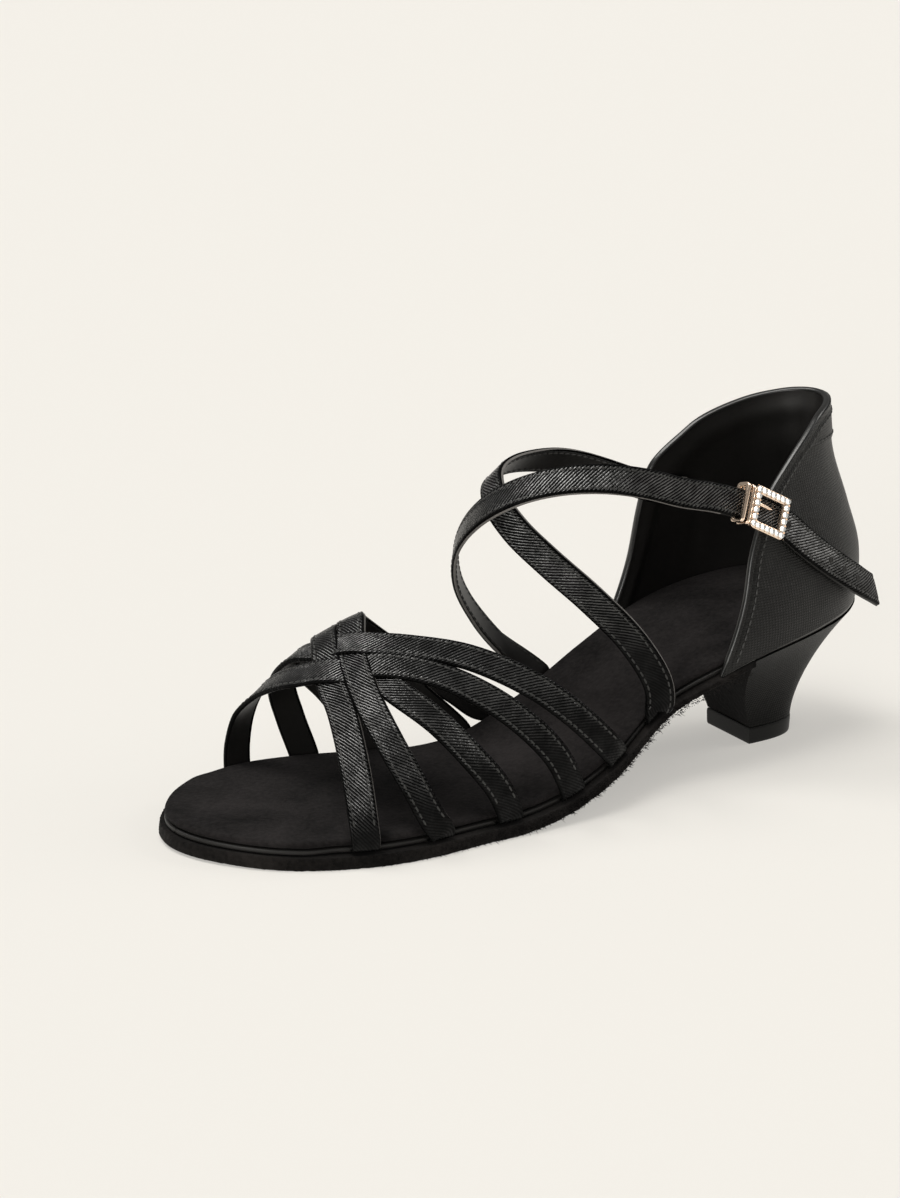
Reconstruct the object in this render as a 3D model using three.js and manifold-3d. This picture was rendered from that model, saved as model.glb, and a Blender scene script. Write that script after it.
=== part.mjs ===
// A left dance sandal: a fan of straps woven over the toes, two straps that cross over the
// instep, a closed heel cup and a low flared heel. Millimetres, +Z up, toe towards -Y and the
// outer side of the foot towards +X. The origin is the centre of the heel tip's face on the floor.
import * as THREE from "three";
import { mergeVertices } from "three/addons/utils/BufferGeometryUtils.js";
import Module from "manifold-3d";

const wasm = await Module();
wasm.setup();

// Sole
const SOLE_LENGTH = 235;
const BALL_WIDTH = 76;
const WAIST_WIDTH = 58;
const SEAT_WIDTH = 58;
const SEAT_HEIGHT = 40.6;
const OUTSOLE_THICKNESS = 3.8;
const TOE_SPRING = 0.8;
const INSOLE_THICKNESS = 1.7;
const SOCK_THICKNESS = 2;
const SOCK_CROWN = 0.6;
const CLEARANCE = 0.3;

// Heel
const TIP_SETBACK = 20.6;
const TIP_WIDTH = 21;
const TIP_DEPTH = 20;
const TIP_HEIGHT = 5;
const BREAST_FROM_BACK = 54;

// Straps
const STRAP_WIDTH = 8.4;
const STRAP_THICKNESS = 1.5;
const STRAP_TUCK = 7;
const STRAP_STANDOFF = 0.9;
const SKIVED_THICKNESS = 0.8;
const ANKLE_STRAP_WIDTH = 8.6;
const VAMP_HEIGHT = 52;
const ARCH_ROUNDNESS = 0.88;
const ANKLE_AT = 0.32;
const TAIL_SLANT = 30;

// Heel cup
const CUP_WALL = 1.8;
const CUP_HEIGHT = 62;
const CUP_LEAN = 11;
const CUP_LENGTH_OUTER = 0.281 * SOLE_LENGTH;
const CUP_LENGTH_INNER = 0.298 * SOLE_LENGTH;
const INSTEP_HEIGHT = SEAT_HEIGHT + 0.91 * CUP_HEIGHT;
const TAB_HEIGHT = 12.2;
const TAB_STEP = 0.5;

// Buckle
const BUCKLE_LENGTH = 14.2;
const BUCKLE_HEIGHT = 13;
const BUCKLE_THICKNESS = 1.6;
const BUCKLE_RIM = 2.6;
const LOOP_LENGTH = 3.8;
const LOOP_BAR = 1.2;
const LOOP_DROP = 1;
const PRONG_DIAMETER = 1.1;
const PRONG_LENGTH = 5.5;

const OUTER = 1;
const INNER = -1;
const TIP_CENTRE_FROM_BACK = TIP_SETBACK + TIP_DEPTH / 2;

// The edge of the sole from the back of the heel to the toe. along is a share of the sole's
// length, and outer and inner are shares of the width that the row names.
const SOLE_OUTLINE = [
  { along: 0, width: SEAT_WIDTH, outer: 0, inner: 0 },
  { along: 0.03, width: SEAT_WIDTH, outer: 0.26, inner: 0.285 },
  { along: 0.08, width: SEAT_WIDTH, outer: 0.403, inner: 0.42 },
  { along: 0.16, width: SEAT_WIDTH, outer: 0.49, inner: 0.485 },
  { along: 0.26, width: SEAT_WIDTH, outer: 0.514, inner: 0.463 },
  { along: 0.36, width: WAIST_WIDTH, outer: 0.497, inner: 0.392 },
  { along: 0.46, width: WAIST_WIDTH, outer: 0.622, inner: 0.353 },
  { along: 0.56, width: BALL_WIDTH, outer: 0.499, inner: 0.28 },
  { along: 0.66, width: BALL_WIDTH, outer: 0.506, inner: 0.378 },
  { along: 0.74, width: BALL_WIDTH, outer: 0.522, inner: 0.455 },
  { along: 0.8, width: BALL_WIDTH, outer: 0.505, inner: 0.487 },
  { along: 0.87, width: BALL_WIDTH, outer: 0.437, inner: 0.462 },
  { along: 0.93, width: BALL_WIDTH, outer: 0.33, inner: 0.366 },
  { along: 0.975, width: BALL_WIDTH, outer: 0.18, inner: 0.232 },
  { along: 1, width: BALL_WIDTH, outer: -0.035, inner: 0.035 },
];

// The sole's rise off the floor, as a share of the seat's height, and its toe spring.
const SOLE_PROFILE = [
  { along: 0, rise: 1, spring: 0 },
  { along: 0.12, rise: 0.943, spring: 0 },
  { along: 0.25, rise: 0.805, spring: 0 },
  { along: 0.35, rise: 0.59, spring: 0 },
  { along: 0.45, rise: 0.292, spring: 0 },
  { along: 0.53, rise: 0.085, spring: 0 },
  { along: 0.6, rise: 0.005, spring: 0 },
  { along: 0.66, rise: 0, spring: 0 },
  { along: 0.9, rise: 0, spring: 0 },
  { along: 1, rise: 0, spring: 1 },
];

// The heel cup from the seat to its top. lean is a share of CUP_LEAN, towards the toe, and
// narrow is the share of the seat's width that is left.
const CUP_PROFILE = [
  { up: 0, lean: 0, narrow: 1 },
  { up: 0.12, lean: -0.09, narrow: 1 },
  { up: 0.25, lean: -0.08, narrow: 0.97 },
  { up: 0.48, lean: 0.3, narrow: 0.88 },
  { up: 0.75, lean: 0.84, narrow: 0.78 },
  { up: 1, lean: 1, narrow: 0.72 },
];

// The free edge of the heel cup from its front corners to the middle of its back. up is a share
// of the cup's height, and outer and inner are shares of the cup's length on each side.
const CUP_EDGE = [
  { up: 0, outer: 1, inner: 1 },
  { up: 0.12, outer: 0.96, inner: 0.945 },
  { up: 0.28, outer: 0.885, inner: 0.89 },
  { up: 0.43, outer: 0.8, inner: 0.835 },
  { up: 0.56, outer: 0.7, inner: 0.777 },
  { up: 0.68, outer: 0.585, inner: 0.7 },
  { up: 0.79, outer: 0.44, inner: 0.54 },
  { up: 0.86, outer: 0.345, inner: 0.43 },
  { up: 0.93, outer: 0.24, inner: 0.245 },
  { up: 0.97, outer: 0.16, inner: 0.11 },
  { up: 1, outer: 0, inner: 0 },
];

// The arch that the vamp straps lie on. height is a share of VAMP_HEIGHT, and crest is the
// crest's shift towards the outer side as a share of BALL_WIDTH.
const VAMP_ARCH = [
  { along: 0.36, height: 1.36, crest: -0.04 },
  { along: 0.45, height: 1.32, crest: -0.08 },
  { along: 0.55, height: 1.24, crest: -0.12 },
  { along: 0.64, height: 1.14, crest: -0.13 },
  { along: 0.7, height: 1.07, crest: -0.13 },
  { along: 0.75, height: 0.97, crest: -0.13 },
  { along: 0.785, height: 0.865, crest: -0.13 },
  { along: 0.84, height: 0.66, crest: -0.13 },
];

// Each vamp strap from the outer edge of the sole to the inner one. along is a share of the
// sole's length, across runs from 0 at the outer edge to 1 at the inner one, and lift is in
// strap thicknesses off the arch: up where it passes over a strap, down where it passes under.
const FRONT_OUTER_STRAP = [
  { along: 0.828, across: 0, lift: 0 },
  { along: 0.828, across: 0.09, lift: 0 },
  { along: 0.816, across: 0.221, lift: 0 },
  { along: 0.799, across: 0.333, lift: 0 },
  { along: 0.783, across: 0.435, lift: -0.5 },
  { along: 0.762, across: 0.52, lift: 0.5 },
  { along: 0.742, across: 0.6, lift: 0.2 },
  { along: 0.715, across: 0.69, lift: 0 },
  { along: 0.68, across: 0.77, lift: 0 },
  { along: 0.635, across: 0.84, lift: 0 },
  { along: 0.58, across: 0.925, lift: 0 },
  { along: 0.53, across: 1, lift: 0 },
];
const SECOND_OUTER_STRAP = [
  { along: 0.724, across: 0, lift: 0 },
  { along: 0.741, across: 0.045, lift: 0 },
  { along: 0.759, across: 0.115, lift: 0 },
  { along: 0.771, across: 0.21, lift: 0 },
  { along: 0.77, across: 0.315, lift: 0 },
  { along: 0.76, across: 0.395, lift: 0.5 },
  { along: 0.744, across: 0.462, lift: -0.5 },
  { along: 0.718, across: 0.554, lift: 0.5 },
  { along: 0.69, across: 0.675, lift: 0.2 },
  { along: 0.635, across: 0.795, lift: 0 },
  { along: 0.585, across: 0.865, lift: 0 },
  { along: 0.54, across: 0.92, lift: 0 },
  { along: 0.505, across: 0.965, lift: 0 },
  { along: 0.473, across: 1, lift: 0 },
];
const MIDDLE_STRAP = [
  { along: 0.62, across: 0, lift: 0 },
  { along: 0.637, across: 0.053, lift: 0 },
  { along: 0.671, across: 0.118, lift: 0 },
  { along: 0.707, across: 0.202, lift: 0 },
  { along: 0.735, across: 0.29, lift: -0.4 },
  { along: 0.745, across: 0.36, lift: -1 },
  { along: 0.748, across: 0.46, lift: -1.7 },
  { along: 0.745, across: 0.6, lift: -1.2 },
  { along: 0.73, across: 0.79, lift: -0.3 },
  { along: 0.7, across: 0.865, lift: 0 },
  { along: 0.67, across: 0.925, lift: 0 },
  { along: 0.645, across: 0.97, lift: 0 },
  { along: 0.622, across: 1, lift: 0 },
];
const FRONT_INNER_STRAP = [
  { along: 0.523, across: 0, lift: 0 },
  { along: 0.55, across: 0.07, lift: 0 },
  { along: 0.595, across: 0.15, lift: 0 },
  { along: 0.638, across: 0.218, lift: 0 },
  { along: 0.68, across: 0.28, lift: 0 },
  { along: 0.719, across: 0.335, lift: 0.2 },
  { along: 0.745, across: 0.372, lift: 0.3 },
  { along: 0.762, across: 0.398, lift: -0.5 },
  { along: 0.783, across: 0.435, lift: 0.5 },
  { along: 0.8, across: 0.502, lift: -0.2 },
  { along: 0.807, across: 0.58, lift: -1.2 },
  { along: 0.812, across: 0.68, lift: -1.8 },
  { along: 0.816, across: 0.8, lift: -1.2 },
  { along: 0.817, across: 0.92, lift: -0.2 },
  { along: 0.815, across: 1, lift: 0 },
];
const SECOND_INNER_STRAP = [
  { along: 0.45, across: 0, lift: 0 },
  { along: 0.475, across: 0.045, lift: 0 },
  { along: 0.524, across: 0.129, lift: 0 },
  { along: 0.571, across: 0.202, lift: 0 },
  { along: 0.633, across: 0.29, lift: 0 },
  { along: 0.69, across: 0.36, lift: 0.1 },
  { along: 0.728, across: 0.418, lift: 0.5 },
  { along: 0.746, across: 0.462, lift: 0.5 },
  { along: 0.762, across: 0.518, lift: -0.5 },
  { along: 0.772, across: 0.64, lift: -0.5 },
  { along: 0.765, across: 0.8, lift: -0.3 },
  { along: 0.745, across: 0.91, lift: 0 },
  { along: 0.724, across: 1, lift: 0 },
];
const VAMP_STRAPS = [
  FRONT_OUTER_STRAP,
  SECOND_OUTER_STRAP,
  MIDDLE_STRAP,
  FRONT_INNER_STRAP,
  SECOND_INNER_STRAP,
];

// The two straps over the instep, each from the waist of the sole. along is a share of the
// sole's length, out of the seat's width to the outer side, up of INSTEP_HEIGHT, and slope is
// how far the strap's face is turned up, in degrees.
const BUCKLED_STRAP_AT = 0.405;
const BUCKLED_STRAP = [
  { along: 0.458, out: -0.4324, up: 0.34, slope: 5 },
  { along: 0.503, out: -0.4324, up: 0.47, slope: 10 },
  { along: 0.532, out: -0.3931, up: 0.58, slope: 20 },
  { along: 0.553, out: -0.2883, up: 0.7, slope: 30 },
  { along: 0.562, out: -0.1441, up: 0.805, slope: 35 },
  { along: 0.555, out: 0.0131, up: 0.895, slope: 35 },
  { along: 0.53, out: 0.1441, up: 0.955, slope: 35 },
  { along: 0.49, out: 0.249, up: 0.985, slope: 33 },
  { along: 0.44, out: 0.3276, up: 0.985, slope: 30 },
  { along: 0.39, out: 0.3734, up: 0.96, slope: 26 },
  { along: 0.335, out: 0.4088, up: 0.915, slope: 23 },
  { along: 0.29, out: 0.4272, up: 0.886, slope: 22 },
  { along: 0.253, out: 0.4377, up: 0.853, slope: 23 },
  { along: 0.2166, out: 0.4429, up: 0.81, slope: 23 },
];
const CROSS_STRAP_AT = 0.375;
const CROSS_STRAP = [
  { along: 0.377, out: 0.5477, up: 0.284, slope: 3 },
  { along: 0.386, out: 0.5372, up: 0.36, slope: 5 },
  { along: 0.415, out: 0.4586, up: 0.49, slope: 15 },
  { along: 0.457, out: 0.3341, up: 0.615, slope: 25 },
  { along: 0.497, out: 0.1834, up: 0.722, slope: 32 },
  { along: 0.522, out: 0.0393, up: 0.805, slope: 36 },
  { along: 0.53, out: -0.0917, up: 0.875, slope: 36 },
  { along: 0.515, out: -0.2162, up: 0.92, slope: 34 },
  { along: 0.475, out: -0.3145, up: 0.93, slope: 30 },
  { along: 0.415, out: -0.3669, up: 0.915, slope: 26 },
  { along: 0.36, out: -0.3866, up: 0.88, slope: 22 },
];

// The rear ends of the two straps on the heel cup, from_back as a share of its length and up
// of its height.
const BUCKLED_STRAP_ON_CUP = [
  { from_back: 0.572, up: 0.546 },
  { from_back: 0.509, up: 0.457 },
  { from_back: 0.437, up: 0.365 },
  { from_back: 0.36, up: 0.285 },
];
const BUCKLED_STRAP_TAIL = [
  { along: 0.052, out: 0.4141, up: 0.521, slope: 28 },
  { along: 0.014, out: 0.3617, up: 0.463, slope: 32 },
];
const CROSS_STRAP_IN_CUP = [
  { from_back: 0.74, up: 0.58 },
  { from_back: 0.6, up: 0.53 },
];

// The value of a table's column at a place, on a smooth curve through its rows.
function smooth(rows, place, value, at) {
  const x = rows.map(place);
  const y = rows.map(value);
  const last = x.length - 1;
  let i = 0;
  while (i < last - 1 && at > x[i + 1]) i += 1;
  const slope = (k) => (y[k + 1] - y[k]) / (x[k + 1] - x[k]);
  const tangent = (k) => {
    if (k === 0) return slope(0);
    if (k === last) return slope(last - 1);
    const before = x[k] - x[k - 1];
    const after = x[k + 1] - x[k];
    return (slope(k - 1) * after + slope(k) * before) / (before + after);
  };
  const span = x[i + 1] - x[i];
  const t = THREE.MathUtils.clamp((at - x[i]) / span, 0, 1);
  const t2 = t * t;
  const t3 = t2 * t;
  return (
    y[i] * (2 * t3 - 3 * t2 + 1) +
    tangent(i) * span * (t3 - 2 * t2 + t) +
    y[i + 1] * (3 * t2 - 2 * t3) +
    tangent(i + 1) * span * (t3 - t2)
  );
}

// Triangles given as corner points become one closed solid.
function solid(corners) {
  const flat = new Float32Array(corners.flatMap((p) => [p.x, p.y, p.z]));
  const raw = new THREE.BufferGeometry();
  raw.setAttribute("position", new THREE.BufferAttribute(flat, 3));
  const merged = mergeVertices(raw, 1e-3);
  const index = merged.index.array;
  const kept = [];
  for (let i = 0; i < index.length; i += 3) {
    const [a, b, c] = [index[i], index[i + 1], index[i + 2]];
    if (a !== b && b !== c && c !== a) kept.push(a, b, c);
  }
  const made = new wasm.Manifold(
    new wasm.Mesh({
      numProp: 3,
      vertProperties: merged.attributes.position.array,
      triVerts: new Uint32Array(kept),
    }),
  );
  if (made.volume() > 0) return made;
  for (let i = 0; i < kept.length; i += 3) [kept[i + 1], kept[i + 2]] = [kept[i + 2], kept[i + 1]];
  return new wasm.Manifold(
    new wasm.Mesh({
      numProp: 3,
      vertProperties: merged.attributes.position.array,
      triVerts: new Uint32Array(kept),
    }),
  );
}

// A geometry of three.js, placed by a matrix, as a solid.
function solidOf(geometry, matrix = new THREE.Matrix4()) {
  const g = (geometry.index ? geometry.toNonIndexed() : geometry.clone()).applyMatrix4(matrix);
  const p = g.attributes.position;
  const corners = [];
  for (let i = 0; i < p.count; i += 1) corners.push(new THREE.Vector3().fromBufferAttribute(p, i));
  return solid(corners);
}

// The largest body of a solid, without the slivers that a cut can leave.
function largest(shape) {
  return shape.decompose().sort((a, b) => b.volume() - a.volume())[0];
}

function quad(out, a, b, c, d) {
  out.push(a, b, c, a, c, d);
}

// A solid through a row of closed rings of equal count, closed at each end by capping the ring.
function loft(rings, capped = true) {
  const out = [];
  const n = rings[0].length;
  for (let i = 0; i < rings.length - 1; i += 1) {
    for (let k = 0; k < n; k += 1) {
      const m = (k + 1) % n;
      quad(out, rings[i][k], rings[i + 1][k], rings[i + 1][m], rings[i][m]);
    }
  }
  if (capped) {
    for (const [ring, turned] of [
      [rings[0], false],
      [rings[rings.length - 1], true],
    ]) {
      // Rings run symmetrically from corner 0 to corner n - 1, so rungs across them fill the cap.
      for (let k = 0; k < Math.floor((n - 1) / 2); k += 1) {
        const [a, b, c, d] = [ring[k], ring[k + 1], ring[n - 2 - k], ring[n - 1 - k]];
        if (turned) quad(out, d, c, b, a);
        else quad(out, a, b, c, d);
      }
    }
  }
  return solid(out);
}

// The edge of the sole in plan, inset by a distance. turn runs from 0 at the heel to PI at the
// toe. It gives x and from_back, the distance from the back of the seat.
function soleEdge(side, turn, inset = 0) {
  const place = (row) => Math.acos(1 - 2 * row.along);
  const value = (row) => (side > 0 ? row.outer : -row.inner) * row.width;
  const at = (t) => ({
    x: smooth(SOLE_OUTLINE, place, value, t),
    from_back: (SOLE_LENGTH * (1 - Math.cos(t))) / 2,
  });
  const step = 0.01;
  const here = at(turn);
  const before = at(Math.max(0, turn - step));
  const after = at(Math.min(Math.PI, turn + step));
  let dx = after.x - before.x;
  let du = after.from_back - before.from_back;
  if (turn < step || turn > Math.PI - step) du = 0;
  const size = Math.hypot(dx, du);
  dx /= size;
  du /= size;
  return { x: here.x - side * du * inset, from_back: here.from_back + side * dx * inset };
}

function turnAt(fromBack) {
  return Math.acos(1 - (2 * fromBack) / SOLE_LENGTH);
}

// The height of the outsole's upper face, where insole, straps and heel cup meet it.
function seatLine(fromBack) {
  const at = fromBack / SOLE_LENGTH;
  const along = (row) => row.along;
  const rise = Math.max(0, smooth(SOLE_PROFILE, along, (row) => row.rise, at));
  const spring = Math.max(0, smooth(SOLE_PROFILE, along, (row) => row.spring, at));
  return OUTSOLE_THICKNESS + rise * (SEAT_HEIGHT - OUTSOLE_THICKNESS) + spring * TOE_SPRING;
}

// A point of the shoe from its distance to the back of the seat.
function point(x, fromBack, z) {
  return new THREE.Vector3(x, TIP_CENTRE_FROM_BACK - fromBack, z);
}

// A slab that follows the sole: layers are rows of inset and height over the seat line, from
// the lower edge to the upper face, and the middle of the upper face stands up by a crown.
function soleSlab(layers, crown, stations) {
  const rings = [];
  for (let i = 0; i <= stations; i += 1) {
    const turn = (Math.PI * i) / stations;
    const wall = (side) =>
      layers.map(({ inset, height }) => {
        const e = soleEdge(side, turn, inset);
        return point(e.x, e.from_back, seatLine(e.from_back) + height);
      });
    const outer = wall(OUTER);
    const inner = wall(INNER);
    const middle = (a, b, lift) => a.clone().add(b).multiplyScalar(0.5).add(new THREE.Vector3(0, 0, lift));
    const ends = i === 0 || i === stations;
    const top = middle(outer[outer.length - 1], inner[inner.length - 1], ends ? 0 : crown);
    const bottom = middle(outer[0], inner[0], 0);
    rings.push([...outer, top, ...inner.reverse(), bottom]);
  }
  return loft(rings, false);
}

function makeOutsole() {
  const layers = [
    { inset: 0.3, height: -OUTSOLE_THICKNESS },
    { inset: 0, height: -0.5 * OUTSOLE_THICKNESS },
    { inset: 0.2, height: 0 },
  ];
  const behind = new THREE.BoxGeometry(2 * SEAT_WIDTH, 2 * BREAST_FROM_BACK, 3 * SEAT_HEIGHT);
  const middle = point(0, CLEARANCE, SEAT_HEIGHT);
  const cut = solidOf(behind, new THREE.Matrix4().makeTranslation(middle));
  return soleSlab(layers, 0, 46).subtract(cut);
}

const INSOLE_INSET = CUP_WALL + 3 * CLEARANCE;
const SOCK_LIFT = INSOLE_THICKNESS + 2 * CLEARANCE;

// The insole's board, which the ends of the straps are held under.
function makeInsole() {
  const layers = [
    { inset: INSOLE_INSET + 0.2, height: CLEARANCE },
    { inset: INSOLE_INSET, height: CLEARANCE + INSOLE_THICKNESS },
  ];
  return soleSlab(layers, 0, 46);
}

// The padded sock on the insole, with a rolled edge.
function makeSock() {
  const layers = [
    { inset: INSOLE_INSET + 0.5, height: SOCK_LIFT },
    { inset: INSOLE_INSET + 0.1, height: SOCK_LIFT + 0.35 * SOCK_THICKNESS },
    { inset: INSOLE_INSET + 0.6, height: SOCK_LIFT + 0.8 * SOCK_THICKNESS },
    { inset: INSOLE_INSET + 2.4, height: SOCK_LIFT + SOCK_THICKNESS },
  ];
  return soleSlab(layers, SOCK_CROWN, 46);
}

// The heel tip's outline: a straight breast and a rounded back. share runs from 0 at the outer
// corner of the breast round the back to 1 at the inner corner.
function tipOutline(share) {
  const bluntness = 0.72;
  const a = Math.PI * share;
  const blunt = (v) => Math.sign(v) * Math.abs(v) ** bluntness;
  return {
    x: (TIP_WIDTH / 2) * blunt(Math.cos(a)),
    from_back: TIP_SETBACK + TIP_DEPTH * (1 - blunt(Math.sin(a))),
  };
}

// The heel block, from the tip's outline to the seat's.
function makeHeel() {
  const around = 28;
  const levels = 12;
  const foot = TIP_HEIGHT + CLEARANCE;
  const rings = [];
  for (let j = 0; j <= levels; j += 1) {
    const h = j / levels;
    const ring = [];
    for (let i = 0; i <= around; i += 1) {
      const share = i / around;
      const side = share <= 0.5 ? OUTER : INNER;
      const back = 1 - Math.abs(2 * share - 1);
      const turn = turnAt(BREAST_FROM_BACK) * (1 - back);
      const top = soleEdge(side, turn, 0.2);
      const tip = tipOutline(share);
      const flare = h ** 1.8;
      const reach = h ** THREE.MathUtils.lerp(1.05, 1.8, back);
      const x = THREE.MathUtils.lerp(tip.x, top.x, flare);
      const fromBack = THREE.MathUtils.lerp(tip.from_back, top.from_back, reach);
      const z = THREE.MathUtils.lerp(foot, seatLine(top.from_back), h);
      ring.push(point(x, fromBack, z));
    }
    rings.push(ring);
  }
  return loft(rings);
}

function makeHeelTip() {
  const around = 28;
  const levels = [
    { z: 0, spread: 1 },
    { z: TIP_HEIGHT, spread: 1.015 },
  ];
  const rings = levels.map(({ z, spread }) => {
    const ring = [];
    for (let i = 0; i <= around; i += 1) {
      const p = tipOutline(i / around);
      ring.push(point(p.x * spread, p.from_back, z));
    }
    return ring;
  });
  return loft(rings);
}

function cupLength(side) {
  return side > 0 ? CUP_LENGTH_OUTER : CUP_LENGTH_INNER;
}

// The outer face of the heel cup: fromBack is measured on the seat's outline, and up is a share
// of the cup's height over the seat line at its back.
function cupPoint(side, fromBack, up) {
  const edge = soleEdge(side, turnAt(fromBack), CLEARANCE);
  const lean = smooth(CUP_PROFILE, (r) => r.up, (r) => r.lean, up) * CUP_LEAN;
  const narrow = smooth(CUP_PROFILE, (r) => r.up, (r) => r.narrow, up);
  const seat = seatLine(fromBack) + 1.5 * CLEARANCE;
  const top = SEAT_HEIGHT + CUP_HEIGHT;
  return point(edge.x * narrow, edge.from_back + lean, THREE.MathUtils.lerp(seat, top, up));
}

// The same face, moved out along its own normal by a distance.
function cupOffset(side, fromBack, up, distance) {
  const here = cupPoint(side, fromBack, up);
  const step = 0.4;
  const low = Math.max(0.02, fromBack - step);
  const ahead = cupPoint(side, fromBack + step, up).sub(cupPoint(side, low, up));
  const above = cupPoint(side, fromBack, Math.min(1, up + 0.01));
  const rise = above.sub(cupPoint(side, fromBack, Math.max(0, up - 0.01)));
  const normal = ahead.cross(rise).normalize().multiplyScalar(-side);
  if (fromBack < 0.05) normal.set(0, normal.y, normal.z).normalize();
  return here.add(normal.multiplyScalar(distance));
}

// A wall on the cup's own face between two distances from it. reach is the share of its height.
function cupWall(inside, outside, reach = 1) {
  const around = 22;
  const rows = 9;
  const grid = (distance) => {
    const columns = [];
    for (let i = -around; i <= around; i += 1) {
      const side = i < 0 ? OUTER : INNER;
      // The columns stand closer at the back, where the wall turns sharply.
      const share = (Math.abs(i) / around) ** 1.4;
      const edgeAt = 1 - share;
      const place = (r) => CUP_EDGE.indexOf(r) / (CUP_EDGE.length - 1);
      const edge = (value) => smooth(CUP_EDGE, place, value, edgeAt);
      const foot = cupLength(side) * share;
      const head = cupLength(side) * edge((r) => (side > 0 ? r.outer : r.inner));
      const top = edge((r) => r.up) * reach;
      const column = [];
      for (let j = 0; j <= rows; j += 1) {
        const v = j / rows;
        const fromBack = THREE.MathUtils.lerp(foot, head, v);
        column.push(cupOffset(side, Math.max(0.01, fromBack), v * top, distance));
      }
      columns.push(column);
    }
    return columns;
  };
  const a = grid(inside);
  const b = grid(outside);
  const out = [];
  for (let i = 0; i < a.length - 1; i += 1) {
    for (let j = 0; j < rows; j += 1) {
      quad(out, b[i][j], b[i + 1][j], b[i + 1][j + 1], b[i][j + 1]);
      quad(out, a[i][j], a[i][j + 1], a[i + 1][j + 1], a[i + 1][j]);
    }
    quad(out, a[i][0], a[i + 1][0], b[i + 1][0], b[i][0]);
    quad(out, a[i][rows], b[i][rows], b[i + 1][rows], a[i + 1][rows]);
  }
  // The corner columns have no height, so each is one edge, and nothing is left to close there.
  return solid(out);
}

function makeHeelCup() {
  const wall = cupWall(-CUP_WALL, 0);
  const tabBottom = SEAT_HEIGHT + CUP_HEIGHT - TAB_HEIGHT;
  const box = new THREE.BoxGeometry(2 * SEAT_WIDTH, 2 * SEAT_WIDTH, 2 * TAB_HEIGHT);
  const above = new THREE.Matrix4().makeTranslation(point(0, SEAT_WIDTH / 2, tabBottom + TAB_HEIGHT));
  const tab = cupWall(-0.5 * CUP_WALL, TAB_STEP, 0.985).intersect(solidOf(box, above));
  return wall.add(tab);
}

// The arch under the vamp straps.
function archPoint(along, across, lift) {
  const turn = turnAt(along * SOLE_LENGTH);
  const inset = CLEARANCE + STRAP_THICKNESS / 2;
  const outer = soleEdge(OUTER, turn, inset);
  const inner = soleEdge(INNER, turn, inset);
  const a = Math.PI * across;
  const height = smooth(VAMP_ARCH, (r) => r.along, (r) => r.height, along) * VAMP_HEIGHT;
  const share = (1 + Math.cos(a)) / 2;
  const fromBack = THREE.MathUtils.lerp(inner.from_back, outer.from_back, share);
  const base = seatLine(fromBack);
  const rise = (height - base) * Math.sin(a) ** ARCH_ROUNDNESS;
  const crest = smooth(VAMP_ARCH, (r) => r.along, (r) => r.crest, along) * BALL_WIDTH;
  const x = THREE.MathUtils.lerp(inner.x, outer.x, share) + crest * Math.sin(a) ** 2;
  return point(x, fromBack, base + rise).add(new THREE.Vector3(0, 0, lift * STRAP_THICKNESS));
}

function archNormal(along, across) {
  const d = 0.01;
  const side = Math.min(0.98, Math.max(0.02, across));
  const forward = archPoint(along + d, side, 0).sub(archPoint(along - d, side, 0));
  const over = archPoint(along, side + d, 0).sub(archPoint(along, side - d, 0));
  return over.cross(forward).normalize();
}

// A flat strap along a row of places, each with its point, its outward normal and, where it
// isn't the strap's own, its thickness.
function ribbon(places, width, thickness, swell = 0) {
  const curve = new THREE.CatmullRomCurve3(places.map((p) => p.at), false, "centripetal");
  const per = 3;
  const steps = (places.length - 1) * per;
  const rings = [];
  for (let i = 0; i <= steps; i += 1) {
    const t = i / steps;
    const k = Math.min(places.length - 2, Math.floor(i / per));
    const f = i / per - k;
    const [a, b] = [places[k], places[k + 1]];
    const normal = a.normal.clone().lerp(b.normal, f);
    const deep = THREE.MathUtils.lerp(a.thickness ?? thickness, b.thickness ?? thickness, f);
    const tangent = curve.getTangent(t);
    const across = new THREE.Vector3().crossVectors(tangent, normal).normalize();
    const out = new THREE.Vector3().crossVectors(across, tangent).normalize();
    const centre = curve.getPoint(t);
    if (swell && i === 0) centre.addScaledVector(tangent, -swell);
    if (swell && i === steps) centre.addScaledVector(tangent, swell);
    const corner = (x, y) =>
      centre
        .clone()
        .addScaledVector(across, x * (width / 2 + swell))
        .addScaledVector(out, y * (deep / 2 + swell));
    rings.push([corner(-1, -1), corner(1, -1), corner(1, 1), corner(-1, 1)]);
  }
  return loft(rings);
}

// The end of a strap: skived thin, held under the insole and turned up past its side.
function tuck(side, along) {
  const turn = turnAt(along * SOLE_LENGTH);
  const low = 2 * CLEARANCE + SKIVED_THICKNESS / 2;
  const wall = CLEARANCE + STRAP_THICKNESS / 2;
  const bend = 2 * SKIVED_THICKNESS;
  const edge = soleEdge(side, turn).from_back;
  const slope = (seatLine(edge + STRAP_WIDTH / 2) - seatLine(edge - STRAP_WIDTH / 2)) / STRAP_WIDTH;
  const up = new THREE.Vector3(0, slope, 1).normalize();
  const at = (inset, height) => {
    const e = soleEdge(side, turn, inset);
    return point(e.x, e.from_back, seatLine(e.from_back)).addScaledVector(up, height);
  };
  const outward = at(0, 0).sub(at(STRAP_TUCK, 0)).normalize();
  const down = up.clone().negate();
  const slant = outward.clone().add(down).normalize();
  return [
    { at: at(wall + STRAP_TUCK, low), normal: down, thickness: SKIVED_THICKNESS },
    { at: at(wall + bend, low), normal: down, thickness: SKIVED_THICKNESS },
    { at: at(wall + 0.22 * bend, low + 0.22 * bend), normal: slant, thickness: SKIVED_THICKNESS },
    { at: at(wall, low + bend), normal: outward },
  ];
}

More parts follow.
